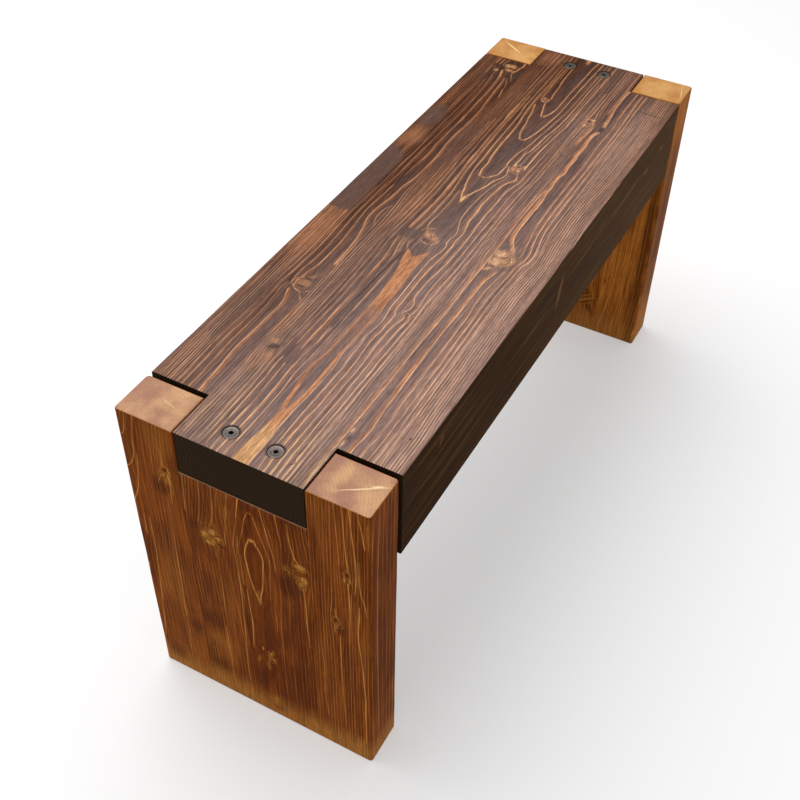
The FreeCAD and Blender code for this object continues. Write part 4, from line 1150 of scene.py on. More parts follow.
# The strong lines of late wood: half the width of the bright edge, width of the warm side and
# how warm it is, and the route up the piece, as places up and across with the line's strength
# there in tenths
leg_lines = {
    "near_middle_board": [
        (1.0, 2.0, 0.3, [
            (222, -9.3, 8), (231, -6.8, 9), (240, -4.4, 9), (250, -1.8, 9), (262, 0.3, 9),
            (280, 2.2, 8), (297, 3.8, 8), (305, 2.9, 9), (317, 0.1, 10), (324, -2.8, 10)]),
        (1.0, 2.0, 0.3, [
            (222, -9.5, 8), (231, -11, 9), (240, -12.8, 9), (250, -15, 9), (265, -16.7, 9),
            (285, -18.2, 9), (300, -19.6, 9), (308, -18.8, 9), (317, -15.2, 10),
            (324, -11.6, 10)]),
        (0.8, 1.5, 0.2, [
            (312, 9.5, 2), (322, 7.5, 3), (335, 4, 5), (350, 0.8, 6), (360, -1.2, 8),
            (366, -3.8, 8)]),
        (0.8, 1.5, 0.2, [
            (300, -27.7, 5), (315, -26.5, 4), (330, -22.5, 4), (345, -18, 5), (357, -15, 7),
            (366, -12.6, 8)]),
        (0.9, 2.0, 0.3, [(357, 9.2, 5), (365, 8, 9), (378, 6, 10), (387, 4.4, 9)]),
        (0.8, 1.5, 0.2, [(302, 18, 5), (312, 17, 6), (325, 15, 5), (340, 12, 4), (350, 10, 2)]),
        (0.8, 1.0, 0.1, [(297, 12, 6), (312, 11.8, 6), (325, 11, 3)]),
        (0.8, 1.0, 0.1, [(244, 9.8, 7), (255, 10, 7), (275, 10.3, 6), (292, 10.5, 4)]),
        (0.8, 1.0, 0.1, [(268, 16, 4), (280, 16.5, 6), (298, 17, 5)]),
        (0.9, 3.0, 0.6, [
            (50, 19.5, 4), (90, 19, 5), (110, 18, 4), (140, 17, 5), (170, 16, 6), (200, 15.5, 6),
            (230, 15, 7), (245, 15.3, 5), (262, 16, 3)]),
        (0.8, 1.5, 0.2, [
            (305, 27, 4), (312, 27.3, 5), (325, 26, 4), (340, 24, 3), (355, 21.5, 6), (370, 20, 6),
            (387, 19, 6)]),
        (0.8, 1.5, 0.3, [
            (328, 43.5, 4), (340, 41, 5), (350, 39.3, 6), (370, 38.5, 6), (387, 38, 7)]),
        (0.8, 1.5, 0.3, [
            (320, 60.5, 5), (335, 58, 4), (350, 56, 4), (370, 54, 6), (387, 53.5, 6)]),
        (0.8, 1.5, 0.3, [(330, 76.5, 4), (345, 75.5, 5), (365, 74.3, 6), (387, 73.8, 7)]),
        (0.9, 2.0, 0.3, [
            (294, -34.5, 4), (305, -34.5, 6), (320, -33, 6), (335, -30, 6), (350, -27.5, 7),
            (370, -24, 7), (387, -21.5, 6)]),
        (0.7, 1.0, 0.1, [
            (238, -25, 2), (255, -25.5, 5), (270, -26, 6), (290, -27.5, 5), (308, -28.5, 5)]),
        (0.8, 1.5, 0.3, [(345, -45, 3), (360, -42.5, 4), (375, -41, 5), (387, -40, 8)]),
        (1.1, 3.0, 0.7, [
            (318, -66.5, 6), (323, -65, 7), (330, -61, 7), (345, -57, 6), (360, -55, 5),
            (380, -54, 3)]),
        (0.9, 2.5, 0.6, [
            (183, -72, 3), (195, -72, 5), (215, -71, 6), (230, -70.5, 7), (245, -70.8, 6),
            (265, -70, 6), (285, -69, 7)]),
        (0.8, 1.5, 0.4, [
            (15, 42, 4), (35, 43, 6), (60, 43.5, 6), (80, 43, 4), (100, 43.5, 7), (125, 44, 6),
            (140, 44, 4)]),
        (0.8, 1.5, 0.3, [(168, 42, 3), (190, 41.5, 5), (210, 41, 6), (230, 41, 6), (240, 41, 3)]),
        (1.0, 2.5, 0.7, [
            (128, 6.8, 3), (150, 5.5, 5), (163, 4.6, 8), (175, 4.3, 9), (195, 5, 6), (215, 5.8, 5),
            (235, 6.5, 3)]),
        (0.7, 1.0, 0.2, [(185, -30, 4), (205, -30, 5), (220, -29.5, 3)]),
    ],
    "near_left_post": [
        (0.9, 2.0, 0.4, [
            (408, 149, 5), (410, 145.5, 7), (418, 141.5, 6), (430, 139, 6), (445, 137, 4)]),
        (0.9, 2.0, 0.4, [
            (359, 149.5, 8), (364, 144, 9), (372, 139, 8), (385, 134.7, 6), (400, 133, 5),
            (420, 130, 3), (445, 126, 3)]),
        (0.9, 2.0, 0.4, [
            (300, 150, 7), (306, 147.5, 9), (318, 142.5, 8), (332, 138, 5), (345, 135.8, 5),
            (365, 132.8, 5), (385, 130.5, 3)]),
        (0.9, 2.5, 0.5, [
            (55, 144, 3), (75, 142, 6), (95, 140, 6), (120, 138.3, 5), (150, 136, 6),
            (180, 134, 4), (205, 132.5, 6), (230, 131, 7), (260, 130.8, 6), (285, 130.5, 3)]),
        (0.9, 2.5, 0.4, [
            (40, 105, 3), (60, 105, 4), (90, 104, 3), (118, 103, 2), (135, 102.8, 6),
            (160, 102.5, 5), (190, 101.5, 5), (225, 101, 7), (260, 100, 4), (330, 99, 2)]),
        (0.8, 1.5, 0.3, [(255, 139, 5), (270, 139, 6), (285, 138.5, 4)]),
        (0.8, 1.5, 0.3, [(55, 77.6, 4), (80, 77.6, 3), (100, 77.4, 6), (115, 77.4, 3)]),
        (0.8, 1.5, 0.3, [(330, 92.6, 4), (345, 92.5, 8), (357, 91.6, 8), (368, 91, 6)]),
        (0.8, 1.5, 0.3, [(387, 97.2, 8), (400, 97.3, 7), (412, 98.5, 4)]),
        (0.7, 1.0, 0.2, [(358, 107, 6), (366, 103.6, 7), (373, 101, 5)]),
        (0.7, 1.0, 0.2, [(360, 96.5, 6), (367, 95, 7)]),
        (0.7, 1.0, 0.2, [(368, 112, 3), (390, 111, 5), (412, 110, 3)]),
    ],
    "near_right_post": [
        (0.8, 1.0, 0.2, [
            (350, -123.8, 7), (365, -122.7, 9), (390, -121, 8), (420, -120, 7), (445, -118.5, 5)]),
        (0.9, 1.5, 0.3, [
            (320, -132, 6), (335, -133, 9), (350, -133.5, 8), (380, -132, 7), (400, -130, 6),
            (425, -128, 7), (445, -126.5, 9)]),
        (0.9, 1.5, 0.3, [
            (228, -124, 4), (250, -124.5, 5), (270, -124.8, 6), (290, -125, 9), (310, -124.5, 10),
            (328, -123.5, 9)]),
        (0.9, 2.5, 0.5, [
            (40, -143, 6), (70, -142.8, 7), (100, -142.5, 8), (125, -142.8, 10), (150, -141.5, 8),
            (180, -140, 8), (200, -138.5, 7), (225, -136, 7), (245, -134.7, 8), (262, -134.8, 8),
            (280, -136, 7), (297, -136.3, 4)]),
        (0.9, 1.5, 0.4, [
            (398, -143.5, 8), (405, -142.3, 7), (418, -141, 6), (430, -138.5, 5), (445, -136, 3)]),
        (0.8, 1.5, 0.4, [
            (290, -145, 4), (305, -143, 6), (320, -139, 6), (350, -137, 5), (370, -137, 3)]),
        (0.8, 1.0, 0.2, [
            (60, -116, 4), (120, -114, 5), (160, -113, 7), (200, -112.5, 7), (230, -112.5, 8)]),
        (0.8, 1.0, 0.2, [(236, -105.6, 7), (249, -106, 7)]),
        (0.8, 1.0, 0.2, [(264, -107.6, 7), (276, -106.6, 6)]),
        (0.7, 1.0, 0.1, [(330, -114, 3), (360, -113.5, 5), (400, -112, 6), (445, -110, 4)]),
        (0.7, 1.0, 0.1, [(60, -92, 4), (110, -90, 6), (150, -90, 5), (200, -88, 3)]),
    ],
}
# The marks around the knots, and flecks and dark patches: middle up and across the piece, half
# length and half width, turn, and strength
golden_marks = {
    "near_middle_board": [
        (303, 46, 14, 17, 0, 0.7), (300.5, 48, 15, 12, -54, 0.95), (310, 41, 8, 9, 0, 0.8),
        (302, 33, 6, 6, 0, 0.6), (321, 46, 11, 1.6, -18, 0.7), (326, 51, 8, 1.1, -8, 0.5),
        (323, 38, 9, 1.1, 8, 0.5), (280, 44, 13, 2.0, 5, 0.6), (318, -66, 6, 10, 8, 0.95),
        (300, -67, 9, 8.5, 0, 0.9), (307, -51, 8, 8, 0, 0.6), (288, -67, 8, 5, 0, 0.7),
        (232, -9.5, 13, 3.4, 0, 1.0), (124, -16, 9, 5.0, 10, 0.85), (104, -12, 12, 3.4, 5, 0.7),
        (108, 0.5, 10, 2.4, -12, 0.6), (133, -6.3, 4, 1.8, 0, 0.8), (134, -20, 6, 2.4, 10, 0.7),
        (30, -17, 12, 4.5, 8, 0.8), (328, -7, 3.4, 5, 0, 0.8), (105, 55, 14, 18, 0, 0.35),
    ],
    "near_left_post": [
        (368, 94, 10, 7, 4, 0.8), (352, 89, 12, 1.4, -3, 0.6), (376, 102, 7, 3, -20, 0.6),
        (396, 98, 14, 2.0, -3, 0.7), (381, 94.6, 6, 5, 0, 0.6), (191, 147.5, 9, 2.4, -14, 0.9),
        (52, 104, 2.0, 24, -4, 0.5), (35, 148, 26, 4, 0, 0.7),
    ],
    "near_right_post": [
        (334, -119.5, 6, 2.6, -12, 0.8), (246, -107.5, 5, 1.8, 0, 0.8),
        (336, -126, 6, 2.2, 10, 0.8), (422, -148, 22, 3, 0, 0.7), (343, -123, 6, 5, 0, 0.5),
        (257, -107.5, 8, 6, 0, 0.45),
    ],
    "far_middle_board": [
        (60, -60, 20, 2.0, -60, 0.95), (67, -57, 17, 1.6, -60, 0.9), (53, -63, 13, 1.3, -60, 0.7),
    ],
    "far_left_post": [(210, 104, 6, 5, 0, 0.6)],
    "far_right_post": [(118, -92, 28, 0.7, -58, 0.4)],
}
light_marks = {
    "near_middle_board": [
        (303, 54.5, 6, 4.6, -40, 0.9), (311, 45, 6, 4.0, -25, 0.8), (303, 38, 6, 3.0, -50, 0.7),
        (291, 49, 3.4, 6.5, 10, 0.9), (297, 44, 4, 2.2, -20, 0.6), (321, -67, 2.8, 7.5, 12, 0.95),
        (300, -70, 6, 4.4, 0, 0.6), (308, -50, 2.4, 5, -30, 0.5), (291, -66, 3.5, 4, 0, 0.6),
        (133, -6.3, 3.0, 1.3, 0, 0.9), (129, -18, 3.0, 2.0, 20, 0.9),
        (119, -20.5, 3.6, 1.3, 10, 0.8), (116, -14, 3, 1.4, -20, 0.6), (36, -20, 6, 1.6, 10, 0.5),
        (328, -6.8, 2.4, 4, 0, 0.8),
    ],
    "near_left_post": [
        (367, 92, 8, 1.6, 8, 0.8), (372, 99, 4, 1.4, -30, 0.7), (378, 90.5, 5, 1.2, 10, 0.7),
        (191, 147.5, 7, 1.2, -14, 0.8),
    ],
    "near_right_post": [(334, -119.5, 4, 1.2, -12, 0.7), (336, -126.3, 4, 1.1, 10, 0.7)],
    "far_middle_board": [(62, -60, 15, 0.8, -60, 0.7)],
}
golden_rings = {
    "near_middle_board": [
        (120, -17, 9, 6.5, 200, 70, 1.1, 0.8), (304, 45, 19, 19, 30, 40, 0.9, 0.5),
        (304, 45, 20, 18, 190, 36, 0.9, 0.4), (363, -8.3, 9, 5.6, 0, 56, 1.0, 0.8),
        (320, -7.2, 9.5, 6.4, 0, 56, 1.4, 0.9), (122, -20, 6, 4, 180, 120, 0.9, 0.8),
    ],
    "near_left_post": [(381, 95, 6.6, 5.2, 0, 170, 1.2, 0.9)],
    "near_right_post": [
        (342.5, -122.5, 6.0, 4.6, 0, 170, 1.1, 0.9), (256.5, -107.5, 7.2, 5.6, 0, 170, 1.1, 0.9),
        (256, -107.5, 11, 8, 220, 50, 0.8, 0.6),
    ],
    "far_left_post": [(210, 104, 8, 6, 0, 170, 0.9, 0.6)],
}
dark_marks_up = {
    "near_middle_board": [
        (303, 44, 1.2, 9, -24, 0.9), (308, 38, 5, 0.9, -60, 0.8), (297, 51, 5, 0.8, 35, 0.7),
        (299, 41, 5, 0.8, -72, 0.8), (307, 50, 3.4, 0.8, 50, 0.7), (293, 33, 1.8, 10, -32, 0.8),
        (318, 43, 4, 0.8, -20, 0.6), (308, -53, 1.6, 5.5, -30, 0.9), (302, -48, 1.2, 4, 30, 0.8),
        (306, -67, 1.1, 7.5, 8, 0.9), (314, -58, 1.0, 5, 20, 0.8), (296, -60, 5, 0.9, -40, 0.7),
        (311, -62, 4, 0.8, 20, 0.7), (123, -21.5, 2.0, 1.2, 0, 0.8), (112, -9.5, 7, 1.6, 12, 0.7),
        (127, -12, 4, 1.2, 20, 0.7), (315, -8, 9, 5, 0, 0.35),
    ],
    "near_left_post": [
        (380.5, 95.3, 2.6, 3.6, 8, 1.0), (371, 94.5, 3, 0.9, 20, 0.6), (373, 88.6, 4, 0.8, 0, 0.5),
    ],
    "near_right_post": [(343, -122.6, 2.6, 2.4, 0, 0.95), (257, -107.3, 3.6, 2.8, 0, 0.8)],
    "far_right_post": [(108, -87, 2.4, 1.8, 0, 0.9), (116, -91, 24, 0.4, -56, 0.5)],
    "far_middle_board": [(57, -62, 17, 0.8, -60, 0.8)],
}
leg_shadows = {
    "near_middle_board": [
        (175, -11, 44, 8, 0, 0.5), (277, -51, 21, 19, 0, 1.0), (310, 68, 12, 9, 0, 0.9),
        (68, -2, 26, 11, 0, 0.9), (290, 66, 30, 12, 0, 0.5), (85, -48, 60, 26, 0, 0.6),
        (372, 0, 14, 50, 0, 0.35), (144, 62, 21, 15, 0, 0.9), (160, -50, 80, 14, 0, 0.4),
        (345, -4, 14, 8, 0, 0.6), (18, -22, 7, 10, 0, 0.5), (50, 62, 12, 12, 0, 0.5),
    ],
    "near_left_post": [
        (350, 105, 14, 12, 0, 1.0), (400, 142, 40, 8, 0, 0.4), (110, 90, 18, 12, 0, 0.8),
        (396, 84, 16, 7, 0, 0.7), (30, 128, 18, 16, 0, 0.7),
    ],
    "near_right_post": [
        (345, -116, 12, 5, 0, 0.6), (244, -113, 8, 6, 0, 0.8), (140, -100, 90, 8, 0, 0.3),
    ],
    "far_middle_board": [
        (80, -58, 9, 24, -60, 0.9), (47, -66, 6, 18, -60, 0.9), (200, -40, 200, 40, 0, 0.5),
    ],
    "far_left_post": [(300, 110, 90, 20, 0, 0.5)],
    "far_right_post": [(200, -141, 260, 9, 0, 1.0), (90, -134, 70, 9, 0, 0.6)],
}
leg_glows = {
    "near_middle_board": [
        (95, 45, 34, 30, 0, 0.7), (200, 32, 50, 18, 0, 0.5), (365, 25, 22, 14, 0, 0.5),
        (12, 30, 10, 44, 0, 0.9), (16, -50, 14, 26, 0, 0.9),
    ],
    "near_left_post": [
        (420, 100, 30, 18, 0, 1.0), (190, 112, 70, 22, 0, 0.8), (60, 92, 22, 12, 0, 0.5),
    ],
    "near_right_post": [
        (20, -112, 26, 36, 0, 1.0), (420, -92, 30, 12, 0, 0.5), (245, -142, 40, 7, 0, 0.7),
    ],
    "far_right_post": [(40, -112, 40, 36, 0, 0.9)],
}
# How much paler or darker than the others a piece is
leg_lift = {"near_left_post": 0.05, "near_middle_board": -0.02, "near_right_post": 0.0,
            "far_right_post": 0.06}
# How strong a piece's many finer lines are
line_shares = {"near_left_post": 0.4, "near_middle_board": 0.45, "near_right_post": 0.6}
# Drying checks and lighter flecks on the posts' sawn tops: along the bench and across it
top_marks = {
    "near_left_post": [(-430, 104, 11, 1.2, 74, 0.35)],
    "near_right_post": [(-433, -126, 28, 1.0, -57, 0.9), (-424.5, -137, 7, 2.0, -60, 1.0)],
    "far_left_post": [(440.5, 121.5, 22, 1.3, 56, 1.0)],
    "far_right_post": [(438, -141.5, 19, 0.9, 14, 0.6)],
}
top_glow = {
    "near_left_post": [(-424, 98, 24, 26, 0, 0.7), (-412, 120, 10, 20, 0, 0.2)],
    "near_right_post": [
        (-446, -138, 20, 18, 0, 0.9), (-424, -100, 24, 8, 0, 0.5), (-420, -128, 14, 18, 0, 0.6),
    ],
    "far_left_post": [(422, 100, 26, 22, 0, 0.8)],
    "far_right_post": [(430, -110, 26, 26, 0, 0.8)],
}
# The distance of the rings from the heart, each with its number
leg_ring_radii = [(0, 0), (37, 8), (41.7, 9), (46.4, 10), (150, 38)]
# The colours under the wax: the ground from dark to pale, painted paler at the far end to stand
# for more light on the far leg, and how much darker the faces on the bench's right are, at each
# end
honey_ground_and_far_light = {"near": ((0.132, 0.0255, 0.0032), (0.265, 0.0660, 0.0092)),
                "far": ((0.270, 0.066, 0.0066), (0.560, 0.185, 0.0270))}
right_face_darkening = {"near": (0.84, 0.80, 0.64), "far": (0.60, 0.56, 0.38)}
honey_flank = (0.34, 0.096, 0.0160)
honey_warm_side = (0.38, 0.115, 0.0160)
honey_glow = (0.375, 0.125, 0.0210)
honey_foot = (0.50, 0.195, 0.0410)
honey_shadow = (0.096, 0.022, 0.0052)
honey_line = (0.80, 0.35, 0.080)
golden_knot = (0.46, 0.180, 0.0290)
light_knot = (0.74, 0.35, 0.076)
dark_knot_heart = (0.060, 0.015, 0.0035)
# The sawn tops: their ground from dark to pale at each end, rings, worn edges and lighter flecks
sawn_top = {"near": ((0.405, 0.205, 0.141), (0.68, 0.395, 0.208)),
            "far": ((0.50, 0.220, 0.064), (0.665, 0.365, 0.130))}
sawn_ring = (0.40, 0.19, 0.095)
sawn_edge = (0.38, 0.155, 0.050)
sawn_fleck = (0.92, 0.66, 0.36)


def honey_finish(name, low, high):
    """Waxed softwood for a stretch of a piece: red brown, with golden lines that run up it."""
    end = name.split("_")[0]
    material, place, (x, y, z) = new_finish(f"honey_{name}_{low:.0f}")
    tree = material.node_tree
    own_seed = 7.0 * (1 + list(leg_hearts).index(name))
    wave = speckle(place, (22, 22, 130), own_seed + 1) * 1.3
    wave = wave + speckle(place, (7, 7, 32), own_seed + 2) * 0.5
    bent, clear = round_knots(z, y + wave, tree, leg_knots[name])
    heart_along, heart_side = leg_hearts[name]
    ahead = x - follow(z, heart_along)
    aside = bent - follow(z, heart_side)
    radius = distance_of(ahead, aside)
    ring = follow(radius, leg_ring_radii, smooth=False) - 0.1
    ring_number = reckon("FLOOR", ring)
    phase = ring - ring_number
    line_share = absolute(aside) / radius * 0.12 + ramp(radius, 45.0, 62.0) * 0.08 + 0.06
    before = (1.0 - phase) / line_share
    late_wood = ramp(before, 1.15, 0.5) * ramp(before, 0.0, 0.2)
    side = reckon("GREATER_THAN", aside, 0.0)
    own_strength = chance(ring_number + side * 100.0 + own_seed) * 0.7 + 0.3
    worn = ramp(speckle(place, (9, 9, 80), own_seed + 3, detail=3.0), -0.2, 0.12) * 0.7 + 0.3
    line = late_wood * own_strength * worn * clear * line_shares.get(name, 0.9)
    # On this board the drawn arches stand alone beside the heart
    if name == "near_middle_board":
        line = line * ramp(absolute(aside), 15.0, 24.0)
    across = y + wave * 0.4
    edges, warm_sides = grown_lines(z, across, low, high, leg_lines.get(name, []),
                                    heart_side[0][1])
    # The strong lines and the knots lie on the broad faces alone
    _, side_face, up_face = facing(tree)
    broad = ramp(absolute(side_face), 0.85, 0.5)
    line = reckon("MAXIMUM", line, edges * broad)
    flank = ramp(before, 4.0, 1.0) * own_strength
    uneven = shaken(z, y + wave, place, own_seed + 7, 20.0, 4.0)
    shadow = ovals(uneven, near_to(low, high, leg_shadows[name]), 0.7)
    glow = ovals(uneven, near_to(low, high, leg_glows.get(name, [])), 0.9)
    blots = speckle(place, (30, 30, 110), own_seed + 4, detail=3.0)
    fine = speckle(place, (1.4, 1.4, 60), own_seed + 5, detail=2.0)
    grit = speckle(place, (1.5, 1.5, 12), own_seed + 12, detail=2.0, roughness=0.7)
    low_down = ramp(z + blots * 40.0, 58.0, 6.0)
    tone = ramp(blots + fine * 0.35 + leg_lift.get(name, 0.0), -0.2, 0.22)
    # At the far end this ground is painted paler, for more light on the far leg
    ground = blend(tone, *honey_ground_and_far_light[end])
    colour = blend(flank * 0.5 * line_shares.get(name, 0.9), ground, honey_flank)
    colour = blend(warm_sides * broad, colour, honey_warm_side)
    colour = blend(glow * 0.6, colour, honey_glow)
    colour = blend(low_down * 0.95, colour, honey_foot)
    colour = blend(shadow * 0.75, colour, honey_shadow)
    colour = blend(line * (1.0 - shadow * 0.4), colour, honey_line)
    spot = shaken(z, y + wave * 0.3, place, own_seed + 8, 7.0, 1.4)
    fibres = ramp(speckle(place, (1.8, 1.8, 5), own_seed + 9, detail=3.0), -0.16, 0.16) * 0.8 + 0.3
    golden = reckon("MAXIMUM", ovals(spot, near_to(low, high, golden_marks.get(name, []))),
                    arcs(spot, near_to(low, high, golden_rings.get(name, []))))
    fibres = fibres * broad
    colour = blend(golden * fibres, colour, golden_knot)
    light = ovals(spot, near_to(low, high, light_marks.get(name, [])))
    colour = blend(light * fibres, colour, light_knot)
    dark = ovals(spot, near_to(low, high, dark_marks_up.get(name, [])))
    colour = blend(dark * broad * 0.9, colour, dark_knot_heart)
    # The faces on the bench's right are darker, between their feet and tops
    away_from_top = 1.0 - ramp(z, 320.0, 410.0, 0.9)
    right_face_share = ramp(side_face, -0.5, -0.9) * ramp(z, 30.0, 130.0) * away_from_top
    colour = vector_math("MULTIPLY", colour, blend(right_face_share, (1.0, 1.0, 1.0), right_face_darkening[end]))
    # The tops are end grain, sanded paler
    top_share = ramp(up_face, 0.55, 0.85)
    top_spot = shaken(x, y, place, own_seed + 10, 12.0, 1.0)
    mottle = speckle(place, (22, 22, 22), own_seed + 6, detail=4.0, roughness=0.55)
    top_light = ovals(top_spot, top_glow.get(name, []), 0.9)
    top_tone = ramp(mottle * 0.8 + top_light * 0.26, -0.12, 0.3)
    top_ground = blend(top_tone, *sawn_top[end])
    top_colour = blend(late_wood * 0.35, top_ground, sawn_ring)
    top_colour = blend(ramp(up_face, 0.996, 0.93) * 0.8, top_colour, sawn_edge)
    top_colour = blend(ovals(top_spot, top_marks.get(name, [])), top_colour, sawn_fleck)
    colour = blend(top_share, colour, top_colour)
    fine = (fine + grit * 0.6) * (1.0 - top_share * 0.85)
    shade = blend(ramp(fine, -0.26, 0.26), (0.70, 0.70, 0.70), (1.30, 1.30, 1.30))
    roughness = 0.5 - line * 0.08 + fine * 0.15
    return varnish(material, vector_math("MULTIPLY", colour, shade), roughness, fine * 0.6, 0.25,
                   Specular_IOR_Level=0.012)


post_rounding = 4 * mm
top_bevel = 1.5 * mm
foot_bevel = 2 * mm
seam_bevel = 0.6 * mm
# Each board has one finish up to this height, in millimetres, and another above it
board_middle = 215.0


def upright(first, second):
    """Whether an edge between two corners runs up the piece."""
    return abs(first.z - second.z) > 100 * mm


for end in ("near", "far"):
    name = f"{end}_middle_board"
    board_low, board_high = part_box(name)
    board = plank(board_low, board_high)
    ease(board, foot_bevel, 2, lambda a, b: abs(a.x - b.x) < hair and max(a.z, b.z) < hair)
    ease(board, seam_bevel, 1, upright)
    saw_through(board, (0, 0, board_middle * mm), (0, 0, 1))
    hand_worn(board, 2, worn_step, 2 * seam_bevel, 8.0)
    piece = finished(f"{end}_board_timber", board, honey_finish(name, 0.0, board_middle),
                     "leg_timber", name)
    piece.data.materials.append(honey_finish(name, board_middle, bench_top))
    for face in piece.data.polygons:
        face.material_index = int(face.center.z > board_middle * mm)
    flat_shaded_faces(piece)
    for side_name, side in (("left", 1), ("right", -1)):
        name = f"{end}_{side_name}_post"
        post_low, post_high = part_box(name)
        outer = max(post_low.y * side, post_high.y * side) * side
        post_depth = post_high.y - post_low.y
        post = plank(post_low, post_high)
        ease(post, post_rounding, 4, lambda a, b: upright(a, b) and abs(a.y - outer) < hair)
        ease(post, seam_bevel, 1, lambda a, b: upright(a, b) and abs(a.y - outer) > post_depth / 2)
        ease(post, top_bevel, 3, lambda a, b: min(a.z, b.z) > post_high.z - hair)
        ease(post, foot_bevel, 2, lambda a, b: max(a.z, b.z) < hair)
        hand_worn(post, 2, worn_step, 1.2 * post_rounding, 12.0 + 3 * side)
        piece = finished(f"{end}_{side_name}_post_timber", post,
                         honey_finish(name, 0.0, bench_top), "leg_timber", name)
        flat_shaded_faces(piece)

# The bolts: flat-headed connector bolts of gunmetal-plated steel with a hexagon socket, let
# into shallow recesses. Two hold each tongue down on the board below it.

bare_metal = (0.060, 0.050, 0.042), (0.112, 0.094, 0.082)
rim_highlight = (0.24, 0.205, 0.18)
socket_shade = (0.012, 0.010, 0.009)
dull_share = (0.50, 0.49, 0.40)
steel_material, steel_place, (steel_along, _, steel_height) = new_finish("gunmetal")
scuffs = speckle(steel_place, (2.2, 2.2, 2.2), 41.0, detail=4.0)
patina = blend(ramp(scuffs, -0.2, 0.2), *bare_metal)
up_face = facing(steel_material.node_tree)[2]
# The rim carries a painted highlight, and the socket lies in the dark
patina = blend(ramp(up_face, 0.995, 0.9) * ramp(up_face, 0.3, 0.6), patina, rim_highlight)
head_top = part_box("near_left_bolt")[1].z / mm
patina = blend(ramp(steel_height, head_top - 0.3, head_top - 0.9), patina, socket_shade)
# The two at the far end are duller
dulled = blend(ramp(steel_along, 100.0, 200.0), (1.0, 1.0, 1.0), dull_share)
patina = vector_math("MULTIPLY", patina, dulled)
varnish(steel_material, patina, 0.42 + scuffs * 0.2, scuffs, 0.05, Metallic=0.85)

head_radius = 8.6 * mm
rim_width = 1.3 * mm
socket_width = 4 * mm
socket_depth = 3.5 * mm
lead_in_radius = 3.0 * mm
lead_in_depth = 0.9 * mm
shank_radius = 3 * mm
tip_bevel = 0.8 * mm
under_bevel = 0.2 * mm
upper_bevel = 0.8 * mm
face_depth = 0.25 * mm
turned_steps = 64

for end in ("near", "far"):
    for side_name in ("left", "right"):
        name = f"{end}_{side_name}_bolt"
        bolt_low, bolt_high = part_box(name)
        middle = (bolt_low + bolt_high) / 2
        head_floor = bolt_high.z - head_height
        face_height = bolt_high.z - face_depth
        # From the tip up the shank, out under the head, over its rim and into the socket
        profile = [(0, bolt_low.z), (shank_radius - tip_bevel, bolt_low.z),
                   (shank_radius, bolt_low.z + tip_bevel), (shank_radius, head_floor),
                   (head_radius - under_bevel, head_floor),
                   (head_radius, head_floor + under_bevel),
                   (head_radius, bolt_high.z - upper_bevel),
                   (head_radius - 0.3 * mm, bolt_high.z - 0.3 * mm),
                   (head_radius - 0.9 * mm, bolt_high.z),
                   (head_radius - rim_width, bolt_high.z - 0.05 * mm),
                   (head_radius - rim_width - 0.4 * mm, bolt_high.z - 0.3 * mm),
                   (lead_in_radius, face_height),
                   (socket_width * 0.55, face_height - lead_in_depth),
                   (0, face_height - lead_in_depth)]
        bolt = bmesh.new()
        line = [bolt.verts.new((middle.x + radius, middle.y, height))
                for radius, height in profile]
        edges = [bolt.edges.new(pair) for pair in zip(line, line[1:])]
        bmesh.ops.spin(bolt, geom=[*line, *edges], cent=middle, axis=(0, 0, 1),
                       angle=math.tau, steps=turned_steps, use_merge=True)
        bmesh.ops.remove_doubles(bolt, verts=bolt.verts, dist=hair)
        piece = finished(f"{name}_turned", bolt, steel_material, "bolt_steel", name)
        key = bmesh.new()
        bmesh.ops.create_cone(key, cap_ends=True, segments=6, depth=2 * socket_depth,
                              radius1=socket_width / math.sqrt(3),
                              radius2=socket_width / math.sqrt(3))
        bmesh.ops.translate(key, vec=(middle.x, middle.y, bolt_high.z), verts=key.verts)
        cut_away(piece, key)

# The threaded inserts: zinc-plated steel sleeves, screwed into the end grain of each middle
# board, which the bolts pull on.

zinc_material, zinc_place, _ = new_finish("zinc_plate")
spangle = speckle(zinc_place, (3, 3, 3), 51.0, detail=3.0)
zinc = blend(ramp(spangle, -0.2, 0.2), (0.46, 0.46, 0.44), (0.66, 0.66, 0.63))
varnish(zinc_material, zinc, 0.38 + spangle * 0.2, spangle, 0.05, Metallic=1.0)

# The dowels: fluted beech pins, three across each glued seam, half in the post and half in the
# middle board, and left bare.

beech_material, beech_place, _ = new_finish("bare_beech")
flecks = speckle(beech_place, (0.7, 6, 0.7), 61.0, detail=3.0)
beech = blend(ramp(flecks, -0.2, 0.2), (0.50, 0.32, 0.18), (0.66, 0.46, 0.29))
varnish(beech_material, beech, 0.7 + flecks * 0.1, flecks, 0.1, Specular_IOR_Level=0.3)

for node_name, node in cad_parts.items():
    for part, material in (("_insert", zinc_material), ("_dowel_", beech_material)):
        if part in node_name:
            node.data.materials.clear()
            node.data.materials.append(material)

# The studio: a pale floor that keeps the bench's shadow, an even white sky, one large soft
# lamp high up on the bench's left, and a camera at the height of a standing person's eyes.


def seen_straight(tree):
    """1 where a surface is seen, also by way of metal or glass, and 0 for the light it sheds."""
    rays = tree.nodes.new("ShaderNodeLightPath")
    result = Number(tree, rays.outputs["Is Camera Ray"])
    for kind in ("Is Glossy Ray", "Is Transmission Ray"):
        result = reckon("MAXIMUM", result, Number(tree, rays.outputs[kind]))
    return result


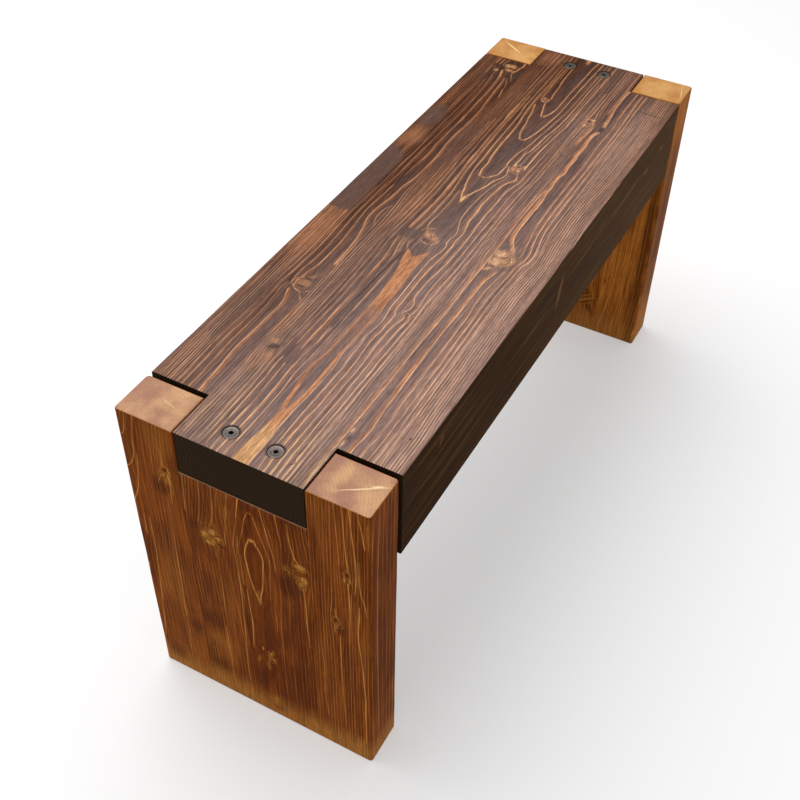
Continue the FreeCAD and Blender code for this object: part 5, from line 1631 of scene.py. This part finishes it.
floor = bmesh.new()
bmesh.ops.create_grid(floor, x_segments=1, y_segments=1, size=12)
floor_mesh = bpy.data.meshes.new("studio_floor")
floor.to_mesh(floor_mesh)
floor.free()
floor_piece = bpy.data.objects.new("studio_floor", floor_mesh)
bpy.context.scene.collection.objects.link(floor_piece)
floor_material = bpy.data.materials.new("pale_floor")
floor_material.use_nodes = True
floor_tree = floor_material.node_tree
floor_shader = floor_tree.nodes["Principled BSDF"]
floor_shader.inputs["Base Color"].default_value = (0.7, 0.7, 0.7, 1)
floor_shader.inputs["Roughness"].default_value = 1.0
floor_shader.inputs["Specular IOR Level"].default_value = 0.0
floor_shader.inputs["Emission Color"].default_value = (1, 1, 1, 1)
floor_glow = seen_straight(floor_tree) * 0.35
floor_tree.links.new(floor_glow.socket, floor_shader.inputs["Emission Strength"])
floor_piece.data.materials.append(floor_material)

world = bpy.data.worlds.new("even_sky")
bpy.context.scene.world = world
world.use_nodes = True
sky_tree = world.node_tree
sky = sky_tree.nodes["Background"]
sky.inputs["Color"].default_value = (1, 1, 1, 1)
sky_glow = seen_straight(sky_tree) * 0.5 + 0.5
sky_tree.links.new(sky_glow.socket, sky.inputs["Strength"])

lamp_data = bpy.data.lights.new("soft_lamp", "AREA")
lamp_data.shape = "DISK"
lamp_data.size = 3.2
lamp_data.energy = 78
lamp = bpy.data.objects.new("soft_lamp", lamp_data)
lamp.location = (0.3, 1.1, 3.3)
lamp.rotation_mode = "QUATERNION"
lamp.rotation_quaternion = (Vector((0, 0, 0.3)) - lamp.location).to_track_quat("-Z", "Y")
bpy.context.scene.collection.objects.link(lamp)

camera_data = bpy.data.cameras.new("camera")
camera_data.lens = 52.33
camera_data.sensor_width = 36
camera_data.clip_start = 0.05
camera = bpy.data.objects.new("camera", camera_data)
camera.location = (-1.0653, -0.5004, 1.2697)
camera_aim = Vector((-0.17665, -0.02624, 0.3))
camera_roll = math.radians(1.0615)
level_view = (camera_aim - camera.location).to_track_quat("-Z", "Y")
camera.rotation_mode = "QUATERNION"
camera.rotation_quaternion = level_view @ Quaternion((0, 0, 1), camera_roll)
bpy.context.scene.collection.objects.link(camera)
bpy.context.scene.camera = camera
bpy.context.scene.view_settings.view_transform = "Standard"
